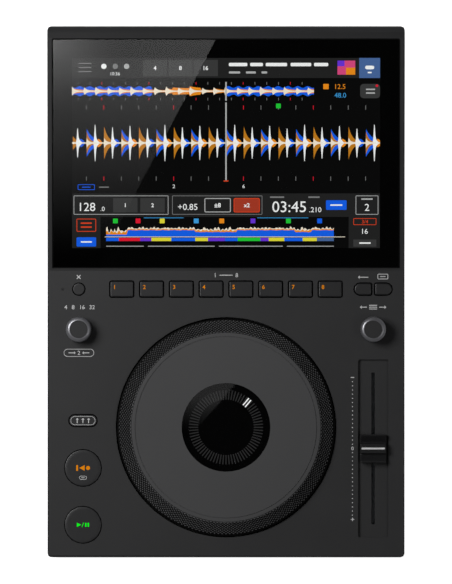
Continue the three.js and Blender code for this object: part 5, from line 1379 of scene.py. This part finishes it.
    def draw_info_row(self) -> None:
        """Draw the row of counters: tempo, speed, time, and small keys."""
        edge = self.half_width
        self.block(Ink.BAR, 1, -edge, 38.2, edge, 54.9)
        self.outline(Ink.PALE, 2, -107.4, 39.8, -40.6, 53.4)
        self.number(Ink.WHITE, 2, "128", -97.6, 45.3, 6.0)
        self.number(Ink.WHITE, 2, ".0", -87.0, 43.9, 3.2)
        for left, text in ((-79.6, "1"), (-60.4, "2")):
            self.block(Ink.TILE, 2, left, 41.4, left + 17.2, 51.6)
            self.number(Ink.WHITE, 3, text, left + 8.6, 46.5, 2.8, 0.02)
        self.outline(Ink.LINE, 2, -38.0, 39.8, 25.6, 53.4)
        self.number(Ink.WHITE, 2, "+0.85", -27.0, 45.3, 4.4)
        self.outline(Ink.PALE, 2, -15.2, 41.4, 3.4, 51.6, 1.0, 0.6)
        self.number(Ink.WHITE, 2, "±8", -5.9, 46.5, 3.2, 0.02)
        self.block(Ink.RUST, 2, 5.4, 41.4, 23.8, 51.6, 1.0)
        self.outline(Ink.FLAME, 3, 5.4, 41.4, 23.8, 51.6, 1.0, 0.5)
        self.number(Ink.WHITE, 3, "x2", 14.6, 46.5, 3.0, 0.02)
        self.number(Ink.WHITE, 2, "03:45", 44.5, 45.4, 7.8)
        self.number(Ink.WHITE, 2, ".210", 63.0, 43.3, 3.6)
        for left, right in ((31.0, 41.0), (58.0, 66.0)):
            self.block(Ink.LINE, 2, left, 51.7, right, 52.8, 0.3)
        self.block(Ink.BLUE, 2, 70.5, 43.2, 85.0, 50.0, 0.6)
        self.block(Ink.WHITE, 3, 73.5, 46.1, 82.0, 47.1, 0.3)
        self.outline(Ink.PALE, 2, 91.4, 39.8, 107.4, 53.4)
        self.number(Ink.WHITE, 2, "2", 99.4, 45.0, 5.0)
        self.block(Ink.PALE, 2, 95.4, 50.4, 103.4, 51.4, 0.3)

    def draw_overview(self) -> None:
        """Draw the whole-length graph, its markers and coloured strip, and the columns beside it."""
        edge = self.half_width
        self.block(Ink.BAR, 1, -edge, self.foot, -88.5, 38.2)
        self.block(Ink.BAR, 1, 86.5, self.foot, edge, 38.2)
        left, right, base = -84.5, 76.0, 24.3
        count = 190
        xs = [left + (right - left) * i / (count - 1) for i in range(count)]

        def rough(i: int, pitch: float) -> float:
            """Uneven height between 0 and 1 that is the same on each run."""
            return 0.5 + 0.3 * math.sin(i * pitch) + 0.2 * math.sin(i * pitch * 2.7 + 1.3)

        def loud(x: float) -> float:
            """Loudness of the piece along its length."""
            if x < -70:
                return 0.25
            if -22 < x < 8 or 48 < x < 60:
                return 0.6
            return 0.86

        blue = [5.6 * loud(x) * (0.86 + 0.1 * rough(i, 0.7)) for i, x in enumerate(xs)]
        amber = [b + 0.5 + 3.4 * rough(i, 1.9) * (1.02 - loud(xs[i])) for i, b in enumerate(blue)]
        white = [a + 0.3 + 4.6 * max(0.0, rough(i, 2.1) - 0.35) * (1.35 - loud(xs[i]))
                 for i, a in enumerate(amber)]
        for ink, level, heights in ((Ink.CREAM, 1, white), (Ink.AMBER, 2, amber), (Ink.BLUE, 3, blue)):
            self.ridge(ink, level, xs, heights, base)
        self.block(Ink.CREAM, 2, left - 1.0, 23.7, right + 8.0, 24.1)
        marks = ((-78.0, Ink.GREEN), (-62.0, Ink.RED), (-45.0, Ink.YELLOW), (-21.0, Ink.SKY),
                 (-3.0, Ink.AMBER), (19.0, Ink.VIOLET), (44.0, Ink.GREEN), (66.0, Ink.BLUE))
        for x, ink in marks:
            self.block(ink, 2, x - 1.7, 33.6, x + 1.7, 37.0, 0.3)
        for low, high in ((-58.0, -30.0), (22.0, 58.0)):
            self.block(Ink.SKY, 2, low, 37.3, high, 37.7)
        strip = (Ink.BLUE, Ink.RED, Ink.VIOLET, Ink.YELLOW, Ink.BLUE, Ink.YELLOW, Ink.VIOLET, Ink.BLUE,
                 Ink.GREEN, Ink.VIOLET, Ink.YELLOW, Ink.BLUE, Ink.YELLOW, Ink.SLATE)
        widths = (9, 15, 8, 14, 17, 9, 12, 9, 16, 6, 11, 13, 10, 12)
        x = left
        for ink, width in zip(strip, widths):
            reach = width * (right - left) / sum(widths)
            self.block(ink, 1, x, 20.9, x + reach, 23.3)
            x += reach
        for low, high in ((-84.5, -58.0), (-55.0, -8.0), (-5.0, 40.0), (43.0, 76.0)):
            self.block(Ink.PALE, 2, low, 17.0, high, 17.5)
        self.block(Ink.BLUE, 2, -105.4, 17.0, -91.6, 23.6, 0.6)
        self.block(Ink.WHITE, 3, -102.4, 19.8, -94.6, 20.8, 0.3)
        self.outline(Ink.FLAME, 2, -105.4, 27.6, -91.6, 36.9, 0.8, 0.5)
        self.block(Ink.FLAME, 2, -102.4, 33.2, -94.6, 34.2, 0.3)
        self.block(Ink.FLAME, 2, -102.4, 30.4, -94.6, 31.4, 0.3)
        self.outline(Ink.FLAME, 2, 89.8, 32.4, 106.0, 37.2, 0.5, 0.4)
        self.number(Ink.FLAME, 2, "3/4", 98.0, 34.8, 2.6)
        self.number(Ink.WHITE, 2, "16", 98.0, 27.9, 3.6)
        self.block(Ink.TILE, 2, 89.8, 16.9, 106.0, 22.0)
        self.block(Ink.WHITE, 3, 94.0, 19.0, 102.0, 20.0, 0.3)


# Finishes of the CAD nodes that stay


@dataclass
class CarriedParts:
    """CAD nodes whose shape is right: each gets its finish."""

    finishes: dict[Surface, tuple[str, ...]] = field(default_factory=lambda: {
        Surface.SHELL: ("top_case",),
        Surface.TRAY: ("bottom_case",),
        Surface.PANEL: ("rear_panel",),
        Surface.SCREEN_GLASS: ("screen_glass",),
        Surface.POLARISER: ("lcd_panel", "jog_display"),
        Surface.ZINC: ("display_bracket", "fader_frame", "fader_lever", "power_supply", "beat_loop_rotor",
                       "browse_rotor", "jog_retainer"),
        Surface.ACETAL: ("jog_bushing",),
        Surface.RESIN: ("jog_base", "jog_hub", "encoder_ring", "jog_sensor", "mains_inlet",
                        "beat_loop_encoder", "browse_encoder"),
        Surface.BOARD: ("control_board", "main_board"),
        Surface.RECESS: ("fader_panel", "power_button"),
        Surface.NICKEL: ("phono_jacks", "lan_jack", "usb_a_port", "usb_b_port"),
        Surface.LAMP: ("indicator_lamp",),
    })

    def dress(self) -> None:
        """Give every CAD node that still shows a finish."""
        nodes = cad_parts
        for surface, names in self.finishes.items():
            for name in names:
                surface.on(nodes[name])
        for name, node in nodes.items():
            if name.startswith("foot_"):
                Surface.RUBBER.on(node)
            elif name.startswith("case_screw_"):
                Surface.SCREW.on(node)
            if node.data.materials and not node.hide_render:
                log.info("%s: %s", name, node.data.materials[0].name)


# Studio and camera


@dataclass
class Studio:
    """Pale floor, soft light from the upper left, three glare cards, and the camera straight above."""

    lens: float = 1200.0
    sensor: float = 36.0
    view_height: float = 411.9
    card_height: float = 3.0
    floor_glow: float = 1.1
    sky_low: float = 0.3
    sky_high: float = 0.012
    fade_power: float = 1.8
    screen_glare: tuple[Point, ...] = ((-133, 182), (-5.0, 182), (-94.0, 12.0), (-133, 12.0))
    frame_glare: tuple[Point, ...] = ((-1300, 190), (-134, 190), (-134, 20), (-1300, 20))
    window_glare: tuple[Point, ...] = ((-34, -62), (8.8, -62), (-24.0, -100.4), (-34, -112))

    @property
    def camera_z(self) -> float:
        """Height of the camera in metres, from which the picture spans view_height at the deck."""
        return (DECK_Z + self.view_height * self.lens / self.sensor) * MM

    def build(self) -> None:
        """Set up everything round the object."""
        self.set_camera()
        self.set_sky()
        self.lay_floor()
        self.hang_lights()
        self.hang_cards()
        bpy.context.scene.view_settings.view_transform = "Standard"

    def set_camera(self) -> None:
        """Put a long lens straight above the middle of the deck."""
        bpy.ops.object.camera_add(location=(0, 0, self.camera_z), rotation=(0, 0, 0))
        camera = bpy.context.object
        camera.data.lens = self.lens
        camera.data.sensor_fit = "VERTICAL"
        camera.data.sensor_height = self.sensor
        camera.data.clip_end = 60.0
        bpy.context.scene.camera = camera

    def set_sky(self) -> None:
        """Make the surroundings pale at eye level and dark overhead, so that glass stays black."""
        world = bpy.data.worlds.new("studio")
        world.use_nodes = True
        tree = world.node_tree
        tree.nodes.clear()
        place = add_node(tree, "ShaderNodeTexCoord")
        parts = add_node(tree, "ShaderNodeSeparateXYZ", links={0: place.outputs["Generated"]})
        height = span(tree, parts.outputs[2], (0.12, 0.62), (1.0, 0.0))
        light, dark = [add_node(tree, "ShaderNodeBackground", {"Color": srgb("#f4f5f7"), "Strength": glow})
                       for glow in (self.sky_low, self.sky_high)]
        sky = add_node(tree, "ShaderNodeMixShader",
                       links={0: height, 1: dark.outputs[0], 2: light.outputs[0]})
        add_node(tree, "ShaderNodeOutputWorld", links={0: sky.outputs[0]})
        bpy.context.scene.world = world

    def lay_floor(self) -> None:
        """Lay a wide pale floor that glows a little, as a lit table does."""
        Bench.clear()
        bpy.ops.mesh.primitive_plane_add(size=60.0, location=(0, 0, 0))
        floor = bpy.context.object
        floor.name = "studio_floor"
        paint = blank_material("pale_lit_table")
        tree = paint.node_tree
        tone = blend_colours(tree, noise(tree, 400.0), "#f2f2f2", "#eeeeee")
        matt = add_node(tree, "ShaderNodeBsdfDiffuse", links={"Color": tone})
        glow = add_node(tree, "ShaderNodeEmission", {"Strength": self.floor_glow}, {"Color": tone})
        both = add_node(tree, "ShaderNodeAddShader", links={0: matt.outputs[0], 1: glow.outputs[0]})
        close_tree(tree, both)
        paint.cycles.emission_sampling = "NONE"
        floor.data.materials.append(paint)
        floor.visible_glossy = False

    def lamp(self, name: str, place: Sequence[float], size: float, power: float) -> None:
        """Hang a square soft light that faces the middle of the deck."""
        aim = Vector((0, 0, DECK_Z * MM)) - Vector(place)
        turn = aim.to_track_quat("-Z", "Y").to_euler()
        bpy.ops.object.light_add(type="AREA", location=place, rotation=turn)
        light = bpy.context.object
        light.name = name
        light.data.size = size
        light.data.energy = power

    def hang_lights(self) -> None:
        """Hang the key light at the upper left, and a fill light."""
        self.lamp("key_light", (-0.55, 0.24, 0.95), 0.46, 7.0)
        self.lamp("fill_light", (0.85, -0.3, 1.6), 0.6, 2.0)

    def card(self, name: str, outline: Sequence[Point], shine: float, full: Point, gone: Point,
             corner: Point, corner_shine: float, corner_reach: float) -> None:
        """Hang a white card that only reflections see, which fades along a line and glows in a corner.

        Args:
            name: its name.
            outline: corners in metres at the card's height.
            shine: brightness before it fades.
            full: place where it starts to fade, in metres.
            gone: place where it has faded out, in metres.
            corner: place of the extra glow, in metres.
            corner_shine: extra brightness there.
            corner_reach: distance at which the extra glow ends, in metres.
        """
        piece = Bench.wire([(x / MM, y / MM, 0) for x, y in [*outline, outline[0]]])
        bpy.ops.mesh.edge_face_add()
        bpy.ops.object.mode_set(mode="OBJECT")
        piece.name = name
        piece.location = (0, 0, self.card_height)
        paint = blank_material(name)
        tree = paint.node_tree
        place = object_place(tree)
        run = Vector((gone[0] - full[0], gone[1] - full[1], 0))
        way = maths(tree, "DOT_PRODUCT", place, run / run.length_squared, vectors=True)
        start = Vector((full[0], full[1], 0)).dot(run) / run.length_squared
        fade = maths(tree, "POWER", span(tree, way, (start, start + 1.0), (1.0, 0.0)), self.fade_power)
        away = maths(tree, "DISTANCE", place, (corner[0], corner[1], 0), vectors=True)
        glint = maths(tree, "POWER", span(tree, away, (0.0, corner_reach), (1.0, 0.0)), 2.0)
        extra = maths(tree, "MULTIPLY", glint, corner_shine)
        total = maths(tree, "MULTIPLY_ADD", fade, shine, extra)
        close_tree(tree, add_node(tree, "ShaderNodeEmission", links={"Strength": total}))
        piece.data.materials.append(paint)
        piece.visible_camera = False
        piece.visible_diffuse = False
        piece.visible_transmission = False
        piece.visible_shadow = False

    def seen_in_screen(self, x: float, y: float) -> Point:
        """Return where on a card, in metres, the camera sees a place of the screen reflected."""
        tilt = math.radians(SLOPE_DEGREES)
        place = Vector((x, y, DECK_Z + (y - FOLD_Y) * math.tan(tilt))) * MM
        normal = Vector((0, -math.sin(tilt), math.cos(tilt)))
        ray = (place - Vector((0, 0, self.camera_z))).normalized()
        back = ray - 2 * ray.dot(normal) * normal
        hit = place + back * ((self.card_height - place.z) / back.z)
        return (hit.x, hit.y)

    def seen_in_window(self, x: float, y: float) -> Point:
        """Return where on a card the camera sees a place of the round window reflected."""
        grow = 1 + (self.card_height - WINDOW_TOP * MM) / (self.camera_z - WINDOW_TOP * MM)
        return (x * MM * grow, y * MM * grow)

    def hang_cards(self) -> None:
        """Hang the cards whose reflections lie on the screen, on its left surround and on the window."""
        on_screen = ((-60, 152), (-60, 20), (-123, 179))
        on_window = ((-10, -76), (-13, -102), (-34, -62))
        for name, seen, corners, shine, marks, corner_shine, reach in (
                ("screen_glare_card", self.seen_in_screen, self.screen_glare, 1.18, on_screen, 2.1, 0.068),
                ("frame_glare_card", self.seen_in_screen, self.frame_glare, 2.1, on_screen, 0.0, 0.068),
                ("window_glare_card", self.seen_in_window, self.window_glare, 0.33, on_window, 0.0, 0.05)):
            self.card(name, [seen(*place) for place in corners], shine, *[seen(*mark) for mark in marks],
                      corner_shine, reach)


def main() -> None:
    """Build, dress and light the player."""
    logging.basicConfig(level=logging.INFO, format="%(message)s")
    for assembly in (JogWheel(), Controls(), DeckPrint(), Screen()):
        assembly.build()
        log.info("%s built", type(assembly).__name__)
    CarriedParts().dress()
    Studio().build()


if __name__ == "__main__":
    main()
